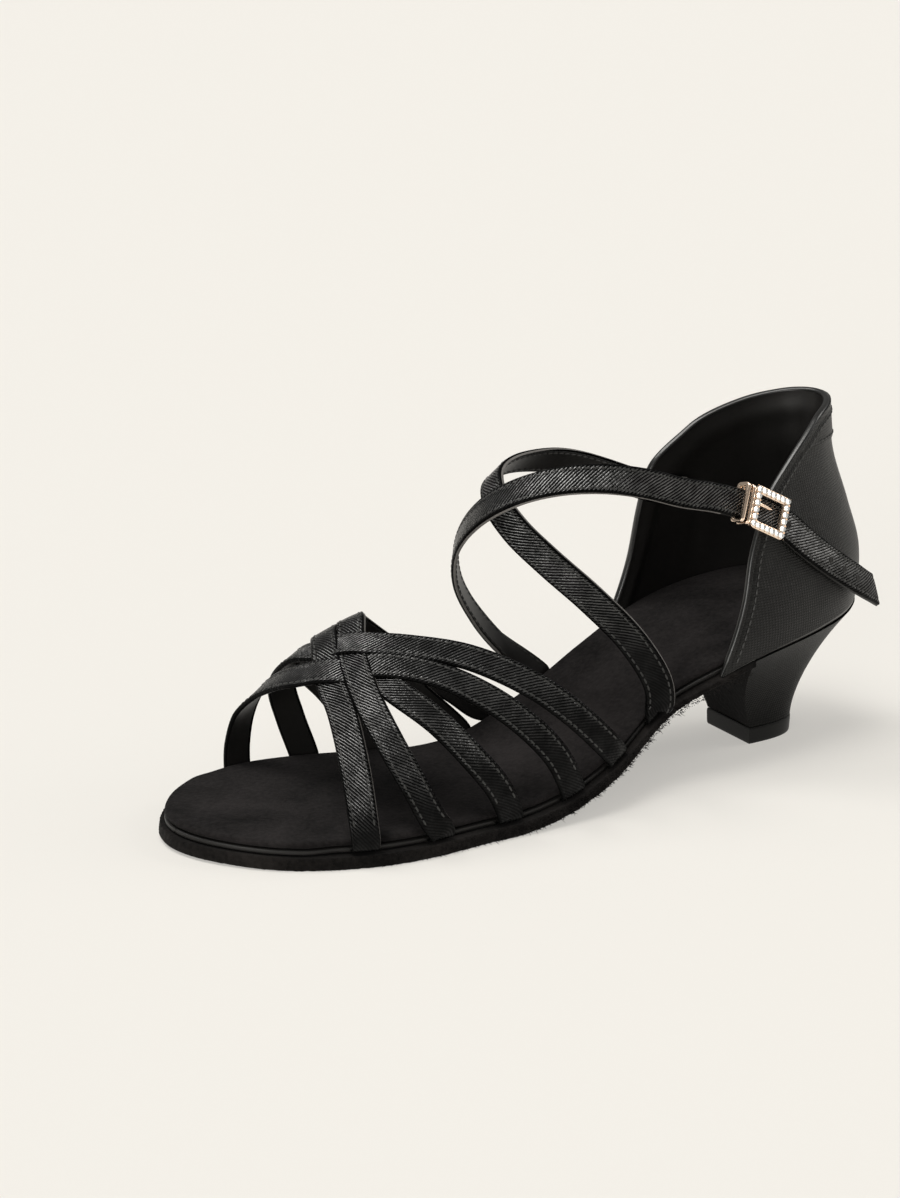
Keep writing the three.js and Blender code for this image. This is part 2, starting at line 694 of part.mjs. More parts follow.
function vampPlaces(rows) {
  const middle = rows.slice(1, -1).map((r) => ({
    at: archPoint(r.along, r.across, r.lift),
    normal: archNormal(r.along, r.across),
  }));
  const first = tuck(OUTER, rows[0].along);
  const last = tuck(INNER, rows[rows.length - 1].along).reverse();
  return [...first, ...middle, ...last];
}

// Places in the open. In front of the ankle a strap faces away from the leg's axis, and behind it
// straight to the side.
function airPlaces(rows) {
  return rows.map((r) => {
    const at = point(r.out * SEAT_WIDTH, r.along * SOLE_LENGTH, r.up * INSTEP_HEIGHT);
    const axis = point(0, Math.min(r.along, ANKLE_AT) * SOLE_LENGTH, at.z);
    const slope = THREE.MathUtils.degToRad(r.slope);
    const normal = at.clone().sub(axis).normalize().multiplyScalar(Math.cos(slope));
    normal.z += Math.sin(slope);
    return { at, normal };
  });
}

function cupPlaces(side, rows, distance) {
  return rows.map((r) => {
    const fromBack = r.from_back * cupLength(side);
    const at = cupOffset(side, fromBack, r.up, distance);
    const normal = cupOffset(side, fromBack, r.up, distance + 1).sub(at);
    return { at, normal };
  });
}

const buckledPlaces = [
  ...tuck(INNER, BUCKLED_STRAP_AT),
  ...airPlaces(BUCKLED_STRAP),
  ...cupPlaces(OUTER, BUCKLED_STRAP_ON_CUP, STRAP_STANDOFF + STRAP_THICKNESS / 2),
  ...airPlaces(BUCKLED_STRAP_TAIL),
];
const crossPlaces = [
  ...tuck(OUTER, CROSS_STRAP_AT),
  ...airPlaces(CROSS_STRAP),
  ...cupPlaces(INNER, CROSS_STRAP_IN_CUP, -CUP_WALL - 2.5 * CLEARANCE - STRAP_THICKNESS / 2),
];

// A strap's own frame at one of its places: x towards the tail, y across and z out of its face.
function strapFrame(places, index) {
  const { at, normal } = places[index];
  const along = places[index + 1].at.clone().sub(places[index - 1].at).normalize();
  const out = normal.clone().addScaledVector(along, -normal.dot(along)).normalize();
  const across = new THREE.Vector3().crossVectors(out, along);
  return new THREE.Matrix4().makeBasis(along, across, out).setPosition(at);
}

// The buckle sits on the last of the buckled strap's places in the open, just over its face.
const BUCKLE_SEAT = STRAP_THICKNESS / 2 + 1.5 * CLEARANCE;
const BEHIND_BUCKLE = BUCKLED_STRAP_ON_CUP.length + BUCKLED_STRAP_TAIL.length;
const buckleFrame = strapFrame(buckledPlaces, buckledPlaces.length - BEHIND_BUCKLE - 1);

function placed(geometry, x, y, z) {
  return solidOf(geometry.translate(x, y, z), buckleFrame);
}

function roundedRectangle(length, height, radius, Kind = THREE.Shape) {
  const [x, y] = [length / 2, height / 2];
  const shape = new Kind();
  shape.moveTo(radius - x, -y);
  shape.lineTo(x - radius, -y);
  shape.quadraticCurveTo(x, -y, x, radius - y);
  shape.lineTo(x, y - radius);
  shape.quadraticCurveTo(x, y, x - radius, y);
  shape.lineTo(radius - x, y);
  shape.quadraticCurveTo(-x, y, -x, y - radius);
  shape.lineTo(-x, radius - y);
  shape.quadraticCurveTo(-x, -y, radius - x, -y);
  return shape;
}

// The buckled strap, with its tail's end cut on a slant.
function makeBuckledStrap() {
  const last = buckledPlaces.length - 1;
  const slant = THREE.MathUtils.degToRad(TAIL_SLANT);
  const length = buckledPlaces[last].at.distanceTo(buckledPlaces[last - 1].at);
  const offcut = new THREE.BoxGeometry(length, 3 * ANKLE_STRAP_WIDTH, length);
  offcut.translate(length / 2, 0, 0).rotateZ(slant);
  offcut.translate(length - (ANKLE_STRAP_WIDTH / 2) * Math.tan(slant), 0, 0);
  const strap = ribbon(buckledPlaces, ANKLE_STRAP_WIDTH, STRAP_THICKNESS);
  return largest(strap.subtract(solidOf(offcut, strapFrame(buckledPlaces, last - 1))));
}

// The buckle: a stone-set frame over the strap, with a loop round the strap at its front.
function makeBuckle() {
  const under = BUCKLE_SEAT;
  const frame = roundedRectangle(BUCKLE_LENGTH, BUCKLE_HEIGHT, 0.8);
  const [openLength, openHeight] = [BUCKLE_LENGTH - 2 * BUCKLE_RIM, BUCKLE_HEIGHT - 2 * BUCKLE_RIM];
  frame.holes.push(roundedRectangle(openLength, openHeight, 0.5, THREE.Path));
  const settings = {
    depth: BUCKLE_THICKNESS - 0.5,
    bevelThickness: 0.25,
    bevelSize: 0.25,
    bevelOffset: -0.25,
    bevelSegments: 1,
    curveSegments: 3,
  };
  const plate = placed(new THREE.ExtrudeGeometry(frame, settings), 0, 0, under + 0.25);
  const loopHeight = ANKLE_STRAP_WIDTH + 4 * CLEARANCE + 2 * LOOP_BAR;
  const loopTop = under + LOOP_BAR;
  const drop = STRAP_THICKNESS + LOOP_DROP;
  const loopBottom = under - drop - LOOP_BAR;
  const middle = -BUCKLE_LENGTH / 2 - LOOP_LENGTH / 2 + 0.4;
  const rise = loopTop - loopBottom;
  const block = new THREE.BoxGeometry(LOOP_LENGTH, loopHeight, rise);
  const passage = new THREE.BoxGeometry(2 * LOOP_LENGTH, loopHeight - 2 * LOOP_BAR, drop);
  const slotLength = LOOP_LENGTH - 2 * LOOP_BAR - 0.4;
  const slot = new THREE.BoxGeometry(slotLength, loopHeight - 2 * LOOP_BAR, 4 * rise);
  const centre = (loopTop + loopBottom) / 2;
  const loop = placed(block, middle, 0, centre)
    .subtract(placed(passage, middle, 0, under - drop / 2))
    .subtract(placed(slot, middle - 0.2, 0, centre));
  return plate.add(loop);
}

// The prong: a pin from the loop into the frame's opening, resting on the strap.
function makeProng() {
  const pin = new THREE.CylinderGeometry(PRONG_DIAMETER / 2, 0.7 * PRONG_DIAMETER / 2, PRONG_LENGTH, 10);
  pin.rotateZ(Math.PI / 2);
  const height = BUCKLE_SEAT + PRONG_DIAMETER / 2;
  const start = BUCKLE_RIM - BUCKLE_LENGTH / 2 + CLEARANCE;
  return placed(pin, start + PRONG_LENGTH / 2, 1.2, height);
}

const group = new THREE.Group();

function addNode(name, shape, look) {
  const mesh = shape.getMesh();
  const geometry = new THREE.BufferGeometry();
  geometry.setAttribute("position", new THREE.BufferAttribute(mesh.vertProperties.slice(), 3));
  geometry.setIndex(new THREE.BufferAttribute(mesh.triVerts.slice(), 1));
  geometry.computeVertexNormals();
  const node = new THREE.Mesh(geometry, new THREE.MeshStandardMaterial(look));
  node.name = name;
  group.add(node);
}

const SUEDE = { color: 0x1c1a1a, roughness: 0.95, metalness: 0 };
const SATIN = { color: 0x141414, roughness: 0.45, metalness: 0 };

addNode("heel", makeHeel(), SATIN);
addNode("heel_tip", makeHeelTip(), SATIN);
addNode("outsole", makeOutsole(), SUEDE);
let insole = makeInsole();
for (const rows of VAMP_STRAPS) {
  insole = insole.subtract(ribbon(vampPlaces(rows), STRAP_WIDTH, STRAP_THICKNESS, CLEARANCE));
}
for (const places of [buckledPlaces, crossPlaces]) {
  insole = insole.subtract(ribbon(places, ANKLE_STRAP_WIDTH, STRAP_THICKNESS, CLEARANCE));
}
insole = insole.subtract(cupWall(-CUP_WALL - CLEARANCE, CLEARANCE));
addNode("insole", largest(insole), SUEDE);
addNode("sock", makeSock(), SUEDE);
addNode("heel_cup", makeHeelCup(), SATIN);
let vamp = null;
for (const rows of VAMP_STRAPS) {
  const strap = ribbon(vampPlaces(rows), STRAP_WIDTH, STRAP_THICKNESS);
  vamp = vamp ? vamp.add(strap) : strap;
}
addNode("vamp_straps", vamp, SATIN);
addNode("buckled_strap", makeBuckledStrap(), SATIN);
addNode("cross_strap", ribbon(crossPlaces, ANKLE_STRAP_WIDTH, STRAP_THICKNESS), SATIN);
const METAL = { color: 0xc9926b, roughness: 0.25, metalness: 1 };
addNode("buckle", makeBuckle(), METAL);
addNode("buckle_prong", makeProng(), METAL);

export default group;
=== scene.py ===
import bmesh
import bpy
import numpy as np
from mathutils import Matrix, Vector


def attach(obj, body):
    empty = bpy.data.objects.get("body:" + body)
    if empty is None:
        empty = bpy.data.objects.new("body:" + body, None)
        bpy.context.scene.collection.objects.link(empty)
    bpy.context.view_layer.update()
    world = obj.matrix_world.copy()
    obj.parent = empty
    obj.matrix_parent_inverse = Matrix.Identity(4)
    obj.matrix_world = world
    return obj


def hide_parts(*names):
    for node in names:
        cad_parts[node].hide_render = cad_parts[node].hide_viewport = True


bl_info = {
    "name": "Dance shoe",
    "version": (1, 0, 0),
    "blender": (4, 5, 0),
    "location": "View3D > Sidebar > Dance shoe",
    "description": "A left dance sandal with woven straps, a closed heel cup and a low flared heel",
    "category": "Object",
}

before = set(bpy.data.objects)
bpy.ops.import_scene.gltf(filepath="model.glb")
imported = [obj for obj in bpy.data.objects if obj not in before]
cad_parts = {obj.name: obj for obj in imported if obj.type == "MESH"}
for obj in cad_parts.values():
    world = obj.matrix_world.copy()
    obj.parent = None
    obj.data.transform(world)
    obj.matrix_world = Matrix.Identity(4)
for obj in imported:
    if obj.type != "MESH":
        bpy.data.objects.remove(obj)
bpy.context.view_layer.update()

MM = 0.001
OUTER = 1
INNER = -1
CLEARANCE = 0.3 * MM
TIP_CENTRE_FROM_BACK = 30.6 * MM
TIP_SETBACK = 20.6 * MM
TIP_WIDTH = 21 * MM
TIP_DEPTH = 20 * MM
BREAST_FROM_BACK = 54 * MM
INSOLE_INSET = 2.7 * MM
STRAP_STANDOFF = 0.9 * MM
ANKLE_AT = 0.32

# In front of the straps insole and sock are this much wider than the solids, as in the photo.
INSOLE_WIDER = 1.2 * MM
SOCK_WIDER = 1.3 * MM

# The tail of the buckled strap: its slanting cut, and how far before its end the lining's lip
# ends and the punched holes are.
TAIL_SLANT = np.radians(30)
TAIL_CUT = 16 * MM
LIP_ENDS_BEFORE_TAIL = 76 * MM
HOLES_BEFORE_TAIL = np.array([14, 21, 28, 49]) * MM

# The instep's height over the seat as a share of the cup's, and the length of each half of the
# cup as a share of the sole's.
INSTEP_SHARE = 0.91
CUP_LENGTH = {OUTER: 0.281, INNER: 0.298}

# The pitch of stitches in stitch lengths, and the distance of their row from a strap's edge.
CUP_STITCH_PITCH = 1.35
STRAP_STITCH_PITCH = 1.4
STITCH_INSET = 1.3 * MM

FIBRE_COUNT = 3800

# The photo's long side in pixels.
PHOTO_HEIGHT = 1198

# A wave texture repeats its bands every 0.314 divided by its scale.
WAVE_REPEAT = 0.314
MULTIPLY = {"operation": "MULTIPLY"}

# The sole's edge from the back of the heel to the toe: along is a share of the sole's length, and
# outer and inner are shares of the ball's width.
SOLE_OUTLINE = {
    "along": (0, 0.03, 0.08, 0.16, 0.26, 0.36, 0.46, 0.56, 0.66, 0.74, 0.8, 0.87, 0.93, 0.975, 1),
    "outer": (
        0, 0.1984, 0.3076, 0.3739, 0.3923, 0.3793, 0.4747,
        0.499, 0.506, 0.522, 0.505, 0.437, 0.33, 0.18, -0.035,
    ),
    "inner": (
        0, 0.2175, 0.3205, 0.3701, 0.3533, 0.2992, 0.2694,
        0.28, 0.378, 0.455, 0.487, 0.462, 0.366, 0.232, 0.035,
    ),
}

# The sole's rise off the floor as a share of the seat's height, and its toe spring.
SOLE_PROFILE = {
    "along": (0, 0.12, 0.25, 0.35, 0.45, 0.53, 0.6, 0.66, 0.9, 1),
    "rise": (1, 0.943, 0.805, 0.59, 0.292, 0.085, 0.005, 0, 0, 0),
    "spring": (0, 0, 0, 0, 0, 0, 0, 0, 0, 1),
}

# The heel cup from the seat up: lean is a share of its lean to the front, narrow of its width.
CUP_PROFILE = {
    "up": (0, 0.12, 0.25, 0.48, 0.75, 1),
    "lean": (0, -0.09, -0.08, 0.3, 0.84, 1),
    "narrow": (1, 1, 0.97, 0.88, 0.78, 0.72),
}

# The cup's free edge from its front corners to the middle of its back.
CUP_EDGE = {
    "up": (0, 0.12, 0.28, 0.43, 0.56, 0.68, 0.79, 0.86, 0.93, 0.97, 1),
    "outer": (1, 0.96, 0.885, 0.8, 0.7, 0.585, 0.44, 0.345, 0.24, 0.16, 0),
    "inner": (1, 0.945, 0.89, 0.835, 0.777, 0.7, 0.54, 0.43, 0.245, 0.11, 0),
}

# The arch that the vamp straps lie on: height is a share of the vamp's height, and crest the
# crest's shift to the outer side as a share of the ball's width.
VAMP_ARCH = {
    "along": (0.36, 0.45, 0.55, 0.64, 0.7, 0.75, 0.785, 0.84),
    "height": (1.36, 1.32, 1.24, 1.14, 1.07, 0.97, 0.865, 0.66),
    "crest": (-0.04, -0.08, -0.12, -0.13, -0.13, -0.13, -0.13, -0.13),
}

# Each vamp strap from the sole's outer edge to its inner one. lift is in strap thicknesses.
VAMP_STRAPS = (
    {
        "along": (0.828, 0.828, 0.816, 0.799, 0.783, 0.762, 0.742, 0.715, 0.68, 0.635, 0.58, 0.53),
        "across": (0, 0.09, 0.221, 0.333, 0.435, 0.52, 0.6, 0.69, 0.77, 0.84, 0.925, 1),
        "lift": (0, 0, 0, 0, -0.5, 0.5, 0.2, 0, 0, 0, 0, 0),
    },
    {
        "along": (
            0.724, 0.741, 0.759, 0.771, 0.77, 0.76, 0.744,
            0.718, 0.69, 0.635, 0.585, 0.54, 0.505, 0.473,
        ),
        "across": (
            0, 0.045, 0.115, 0.21, 0.315, 0.395, 0.462,
            0.554, 0.675, 0.795, 0.865, 0.92, 0.965, 1,
        ),
        "lift": (0, 0, 0, 0, 0, 0.5, -0.5, 0.5, 0.2, 0, 0, 0, 0, 0),
    },
    {
        "along": (0.62, 0.637, 0.671, 0.707, 0.735, 0.745, 0.748, 0.745, 0.73, 0.7, 0.67, 0.645, 0.622),
        "across": (0, 0.053, 0.118, 0.202, 0.29, 0.36, 0.46, 0.6, 0.79, 0.865, 0.925, 0.97, 1),
        "lift": (0, 0, 0, 0, -0.4, -1, -1.7, -1.2, -0.3, 0, 0, 0, 0),
    },
    {
        "along": (
            0.523, 0.55, 0.595, 0.638, 0.68, 0.719, 0.745,
            0.762, 0.783, 0.8, 0.807, 0.812, 0.816, 0.817, 0.815,
        ),
        "across": (
            0, 0.07, 0.15, 0.218, 0.28, 0.335, 0.372,
            0.398, 0.435, 0.502, 0.58, 0.68, 0.8, 0.92, 1,
        ),
        "lift": (0, 0, 0, 0, 0, 0.2, 0.3, -0.5, 0.5, -0.2, -1.2, -1.8, -1.2, -0.2, 0),
    },
    {
        "along": (0.45, 0.475, 0.524, 0.571, 0.633, 0.69, 0.728, 0.746, 0.762, 0.772, 0.765, 0.745, 0.724),
        "across": (0, 0.045, 0.129, 0.202, 0.29, 0.36, 0.418, 0.462, 0.518, 0.64, 0.8, 0.91, 1),
        "lift": (0, 0, 0, 0, 0, 0.1, 0.5, 0.5, -0.5, -0.5, -0.3, 0, 0),
    },
)

# The two straps over the instep: out is a share of the seat's width, up of the instep's height,
# and slope is how far the strap's face is turned up, in degrees.
BUCKLED_STRAP_AT = 0.405
BUCKLED_STRAP = {
    "along": (
        0.458, 0.503, 0.532, 0.553, 0.562, 0.555, 0.53,
        0.49, 0.44, 0.39, 0.335, 0.29, 0.253, 0.2166,
    ),
    "out": (
        -0.4324, -0.4324, -0.3931, -0.2883, -0.1441, 0.0131, 0.1441,
        0.249, 0.3276, 0.3734, 0.4088, 0.4272, 0.4377, 0.4429,
    ),
    "up": (0.34, 0.47, 0.58, 0.7, 0.805, 0.895, 0.955, 0.985, 0.985, 0.96, 0.915, 0.886, 0.853, 0.81),
    "slope": (5, 10, 20, 30, 35, 35, 35, 33, 30, 26, 23, 22, 23, 23),
}
BUCKLED_STRAP_ON_CUP = {
    "from_back": (0.572, 0.509, 0.437, 0.36),
    "up": (0.546, 0.457, 0.365, 0.285),
}
BUCKLED_STRAP_TAIL = {
    "along": (0.052, 0.014),
    "out": (0.4141, 0.3617),
    "up": (0.521, 0.463),
    "slope": (28, 32),
}
CROSS_STRAP_AT = 0.375
CROSS_STRAP = {
    "along": (0.379, 0.386, 0.415, 0.457, 0.497, 0.522, 0.53, 0.515, 0.475, 0.415, 0.36),
    "out": (0.514, 0.5272, 0.4586, 0.3341, 0.1834, 0.0393, -0.0917, -0.2162, -0.3145, -0.3669, -0.3866),
    "up": (0.284, 0.36, 0.49, 0.615, 0.722, 0.805, 0.875, 0.92, 0.93, 0.915, 0.88),
    "slope": (3, 5, 15, 25, 32, 36, 36, 34, 30, 26, 22),
}
CROSS_STRAP_IN_CUP = {
    "from_back": (0.74, 0.6),
    "up": (0.58, 0.53),
}

# The sock's main creases, in mm and degrees: x and back place the middle, turn is 0 where the
# crease runs straight across the sole and 90 along it, and rise is below 0 for a trough.
SOCK_CREASES = (
    {"x": 9, "back": 54, "turn": 78, "half_length": 17, "half_width": 2.2, "rise": 0.26},
    {"x": 4, "back": 58, "turn": 74, "half_length": 20, "half_width": 3.0, "rise": -0.34},
    {"x": -7, "back": 84, "turn": 62, "half_length": 15, "half_width": 2.4, "rise": -0.26},
    {"x": 6, "back": 112, "turn": 118, "half_length": 14, "half_width": 2.6, "rise": -0.28},
    {"x": 2, "back": 152, "turn": 8, "half_length": 22, "half_width": 3.4, "rise": -0.36},
    {"x": 4, "back": 161, "turn": 4, "half_length": 18, "half_width": 2.6, "rise": 0.2},
    {"x": -12, "back": 196, "turn": 30, "half_length": 12, "half_width": 6.0, "rise": -0.4},
    {"x": 12, "back": 200, "turn": 160, "half_length": 13, "half_width": 4.5, "rise": -0.28},
)

# The cup's main creases run up its wall: back is a crease's distance from the back at its foot,
# in mm, which shrinks by a quarter to the top, and low and high are shares of the cup's height.
CUP_CREASES = (
    {"side": OUTER, "back": 33, "low": 0.05, "high": 0.82, "half_width": 3.6, "rise": -0.42},
    {"side": OUTER, "back": 14, "low": 0.3, "high": 0.95, "half_width": 5.0, "rise": 0.3},
    {"side": INNER, "back": 40, "low": 0.05, "high": 0.7, "half_width": 3.2, "rise": -0.4},
    {"side": INNER, "back": 18, "low": 0.25, "high": 0.9, "half_width": 4.5, "rise": -0.34},
)


def linear(code):
    """A colour from its sRGB hex code, as linear values with an alpha of 1."""
    values = [int(code[i : i + 2], 16) / 255 for i in (1, 3, 5)]
    return [v / 12.92 if v <= 0.04045 else ((v + 0.055) / 1.055) ** 2.4 for v in values] + [1.0]


def length(name, description, default):
    """A property that holds a length in metres."""
    return bpy.props.FloatProperty(
        name=name, description=description, default=default, min=0, unit="LENGTH", subtype="DISTANCE"
    )


def tint(name, description, code):
    """A property that holds a colour, from its sRGB hex code."""
    return bpy.props.FloatVectorProperty(
        name=name, description=description, default=linear(code), size=4, min=0, max=1, subtype="COLOR"
    )


class DanceShoeSizes(bpy.types.PropertyGroup):
    """The shoe's sizes, in metres."""

    sole_length: length("Sole length", "From the back of the seat to the toe", 235 * MM)
    ball_width: length("Ball width", "Width of the sole at the ball", 76 * MM)
    seat_width: length("Seat width", "Width of the sole under the heel", 58 * MM)
    seat_height: length("Seat height", "Height of the seat over the floor", 40.6 * MM)
    outsole_thickness: length("Outsole", "Thickness of the suede sole", 3.8 * MM)
    toe_spring: length("Toe spring", "Rise of the toe off the floor", 0.8 * MM)
    insole_thickness: length("Insole", "Thickness of the insole's board", 1.7 * MM)
    sock_thickness: length("Sock", "Thickness of the padded sock", 2 * MM)
    strap_width: length("Strap width", "Width of a vamp strap", 8.4 * MM)
    ankle_strap_width: length("Instep strap width", "Width of the two instep straps", 8.6 * MM)
    strap_thickness: length("Strap thickness", "Thickness of a strap", 1.5 * MM)
    vamp_height: length("Vamp height", "Height of the arch under the vamp straps", 52 * MM)
    cup_height: length("Cup height", "Height of the heel cup over the seat", 62 * MM)
    cup_lean: length("Cup lean", "Lean of the cup's back to the front", 11 * MM)
    cup_wall: length("Cup wall", "Thickness of the heel cup", 1.8 * MM)
    tab_height: length("Tab height", "Height of the back tab", 12.2 * MM)
    tip_height: length("Heel tip", "Height of the heel tip", 5 * MM)
    buckle_length: length("Buckle length", "Length of the buckle's frame", 14.2 * MM)
    buckle_height: length("Buckle height", "Height of the buckle's frame", 13 * MM)
    buckle_rim: length("Buckle rim", "Width of the frame's bars", 2.6 * MM)
    stone: length("Stone", "Diameter of a stone", 1.95 * MM)
    stitch: length("Stitch", "Length of a stitch", 1.7 * MM)
    twill: length("Twill", "Distance between the ribs of the straps' weave", 0.82 * MM)


class DanceShoeColours(bpy.types.PropertyGroup):
    """The shoe's colours."""

    satin: tint("Satin", "Smooth satin of the heel cup and heel", "#131312")
    twill: tint("Strap satin", "Ribbed satin of the straps", "#101010")
    lining: tint("Lining", "Coated lining of straps and cup", "#1c1b1a")
    sock: tint("Sock", "Suede of the padded sock", "#191717")
    suede: tint("Sole suede", "Suede and raw edge of the outsole", "#161413")
    tip: tint("Heel tip", "Hard rubber of the heel tip", "#0d0d0c")
    metal: tint("Metal", "Rose-gold plate of the buckle", "#fadfc8")
    stone: tint("Stone", "Foiled stones", "#fbfaf8")
    floor: tint("Floor", "Pale floor", "#f4f1eb")


def hermite(x, y, at):
    """A smooth curve through points: cubics whose slope at each point weighs both neighbours."""
    x, y, at = np.asarray(x, float), np.asarray(y, float), np.asarray(at, float)
    span = np.diff(x)
    slope = np.diff(y) / span
    tangent = np.empty_like(y)
    tangent[0], tangent[-1] = slope[0], slope[-1]
    tangent[1:-1] = (slope[:-1] * span[1:] + slope[1:] * span[:-1]) / (span[:-1] + span[1:])
    i = np.clip(np.searchsorted(x, at) - 1, 0, len(x) - 2)
    t = np.clip((at - x[i]) / span[i], 0, 1)
    t2, t3 = t * t, t * t * t
    return (
        y[i] * (2 * t3 - 3 * t2 + 1)
        + tangent[i] * span[i] * (t3 - 2 * t2 + t)
        + y[i + 1] * (3 * t2 - 2 * t3)
        + tangent[i + 1] * span[i] * (t3 - t2)
    )


def step_up(low, high, at):
    """A soft step from 0 at low to 1 at high."""
    t = np.clip((at - low) / (high - low), 0, 1)
    return t * t * (3 - 2 * t)


def unit(v):
    """Vectors brought to a length of 1."""
    return v / np.maximum(np.linalg.norm(v, axis=-1, keepdims=True), 1e-12)


def ripple(points, pitch, seed):
    """A smooth uneven field from -1 to 1: a sum of sine waves in many directions over points."""
    rng = np.random.default_rng(seed)
    count = 14
    waves = unit(rng.normal(size=(count, 3))) * rng.uniform(0.6, 1.7, (count, 1)) * 2 * np.pi / pitch
    return np.sin(points @ waves.T + rng.uniform(0, 2 * np.pi, count)).sum(axis=-1) / 6


def sock_creases(points):
    """The rise of the sock's creases: each is a bell curve across its line and along it."""
    x = points[..., 0] / MM
    back = (TIP_CENTRE_FROM_BACK - points[..., 1]) / MM
    total = np.zeros(points.shape[:-1])
    for c in SOCK_CREASES:
        turn = np.radians(c["turn"])
        u = (x - c["x"]) * np.cos(turn) + (back - c["back"]) * np.sin(turn)
        v = (back - c["back"]) * np.cos(turn) - (x - c["x"]) * np.sin(turn)
        total += c["rise"] * np.exp(-((u / c["half_length"]) ** 2) - (v / c["half_width"]) ** 2)
    return total * MM


def cup_creases(back, up, side):
    """The rise of the cup's creases: a bell curve along the wall, faded at both ends."""
    total = np.zeros_like(back)
    for c in CUP_CREASES:
        bell = np.exp(-(((back / MM - c["back"] * (1 - 0.25 * up)) / c["half_width"]) ** 2))
        fade = step_up(c["low"], c["low"] + 0.2, up) * step_up(c["high"], c["high"] - 0.25, up)
        total += c["rise"] * bell * fade * (side == c["side"])[:, None]
    return total * MM


def place(x, back, z):
    """Points of the shoe from their distance to the back of the seat."""
    x, back, z = np.broadcast_arrays(x, back, z)
    return np.stack([x, TIP_CENTRE_FROM_BACK - back, z], axis=-1)


def turn_at(size, back):
    """The turn of the outline, 0 at the heel and pi at the toe, at a distance from the back."""
    return np.arccos(np.clip(1 - 2 * np.asarray(back) / size.sole_length, -1, 1))


def outline(size, side, turn):
    """Half of the sole's outline: the half width over the turn, whose cosine gives the length."""
    knots = np.arccos(1 - 2 * np.array(SOLE_OUTLINE["along"], float))
    half = np.array(SOLE_OUTLINE["outer" if side > 0 else "inner"]) * size.ball_width * side
    return hermite(knots, half, turn), size.sole_length * (1 - np.cos(turn)) / 2


def sole_edge(size, side, turn, inset=0.0):
    """The sole's outline moved in by inset along its own normal."""
    step = 0.01
    turn = np.asarray(turn, float)
    x, back = outline(size, side, turn)
    x0, back0 = outline(size, side, np.maximum(0, turn - step))
    x1, back1 = outline(size, side, np.minimum(np.pi, turn + step))
    dx = x1 - x0
    db = np.where((turn < step) | (turn > np.pi - step), 0, back1 - back0)
    long = np.hypot(dx, db)
    return x - side * db / long * inset, back + side * dx / long * inset


def edge_on_both(size, side, turn, inset):
    """The same for points of both sides at once, each on the side that side gives."""
    outer, inner = (sole_edge(size, s, turn, inset) for s in (OUTER, INNER))
    return tuple(np.where(side > 0, a, b) for a, b in zip(outer, inner))


def seat_line(size, back):
    """The height of the outsole's upper face at a distance from the back."""
    at = np.asarray(back) / size.sole_length
    rise = np.maximum(0, hermite(SOLE_PROFILE["along"], SOLE_PROFILE["rise"], at))
    spring = np.maximum(0, hermite(SOLE_PROFILE["along"], SOLE_PROFILE["spring"], at))
    thick = size.outsole_thickness
    return thick + rise * (size.seat_height - thick) + spring * size.toe_spring


def slab(size, layers, crown, stations, across, first=0.0, wider=0.0):
    """A slab along the sole. Each ring runs up the outer wall through the layers of inset and
    height, over the top on a parabola as high as the crown, down the inner wall and back below.
    In front of the straps its walls move out by wider."""
    turn = np.linspace(first, np.pi, stations)
    walls = {}
    for side in (OUTER, INNER):
        wall = []
        for inset, height in layers:
            at = (1 - np.cos(turn)) / 2
            front = step_up(0.86, 0.9, at) * wider
            x, back = sole_edge(size, side, turn, inset - front)
            wall.append(place(x, back, seat_line(size, back) + height))
        walls[side] = np.stack(wall, axis=1)
    t = np.linspace(0, 1, across + 2)[1:-1][None, :, None]
    outer, inner = walls[OUTER], walls[INNER]
    top = outer[:, -1:] * (1 - t) + inner[:, -1:] * t
    width = np.abs(outer[:, -1, 0] - inner[:, -1, 0])
    top[..., 2] += crown * np.minimum(1, width / 0.03)[:, None] * (4 * t * (1 - t))[..., 0]
    below = inner[:, :1] * (1 - t) + outer[:, :1] * t
    return np.concatenate([outer, top, inner[:, ::-1], below], axis=1)


def grid_faces(rows, columns, closed):
    """The quads of a grid of points, wrapped across its columns where it is closed."""
    i = np.arange(rows - 1)[:, None]
    j = np.arange(columns if closed else columns - 1)[None, :]
    k = (j + 1) % columns
    quads = [i * columns + j, (i + 1) * columns + j, (i + 1) * columns + k, i * columns + k]
    return np.stack(np.broadcast_arrays(*quads), axis=-1).reshape(-1, 4)


def tube(rings):
    """Points and faces of a row of closed rings, with a fan to the middle of each end."""
    rows, columns = rings.shape[:2]
    points = np.concatenate([rings.reshape(-1, 3), rings[:1].mean(axis=1), rings[-1:].mean(axis=1)])
    j = np.arange(columns)
    k = (j + 1) % columns
    start, end = rows * columns, rows * columns + 1
    head = np.stack([k, j, np.full(columns, start)], axis=-1)
    last = (rows - 1) * columns
    tail = np.stack([last + j, last + k, np.full(columns, end)], axis=-1)
    return points, [*grid_faces(rows, columns, True).tolist(), *head.tolist(), *tail.tolist()]


def scatter(points, faces, centres, frames):
    """Copies of one small form: frames holds each copy's three axes as rows."""
    copies = centres[:, None, :] + np.einsum("pk,nkc->npc", points, frames)
    shift = np.arange(len(centres)) * len(points)
    all_faces = [[int(v) + int(s) for v in face] for s in shift for face in faces]
    return copies.reshape(-1, 3), all_faces


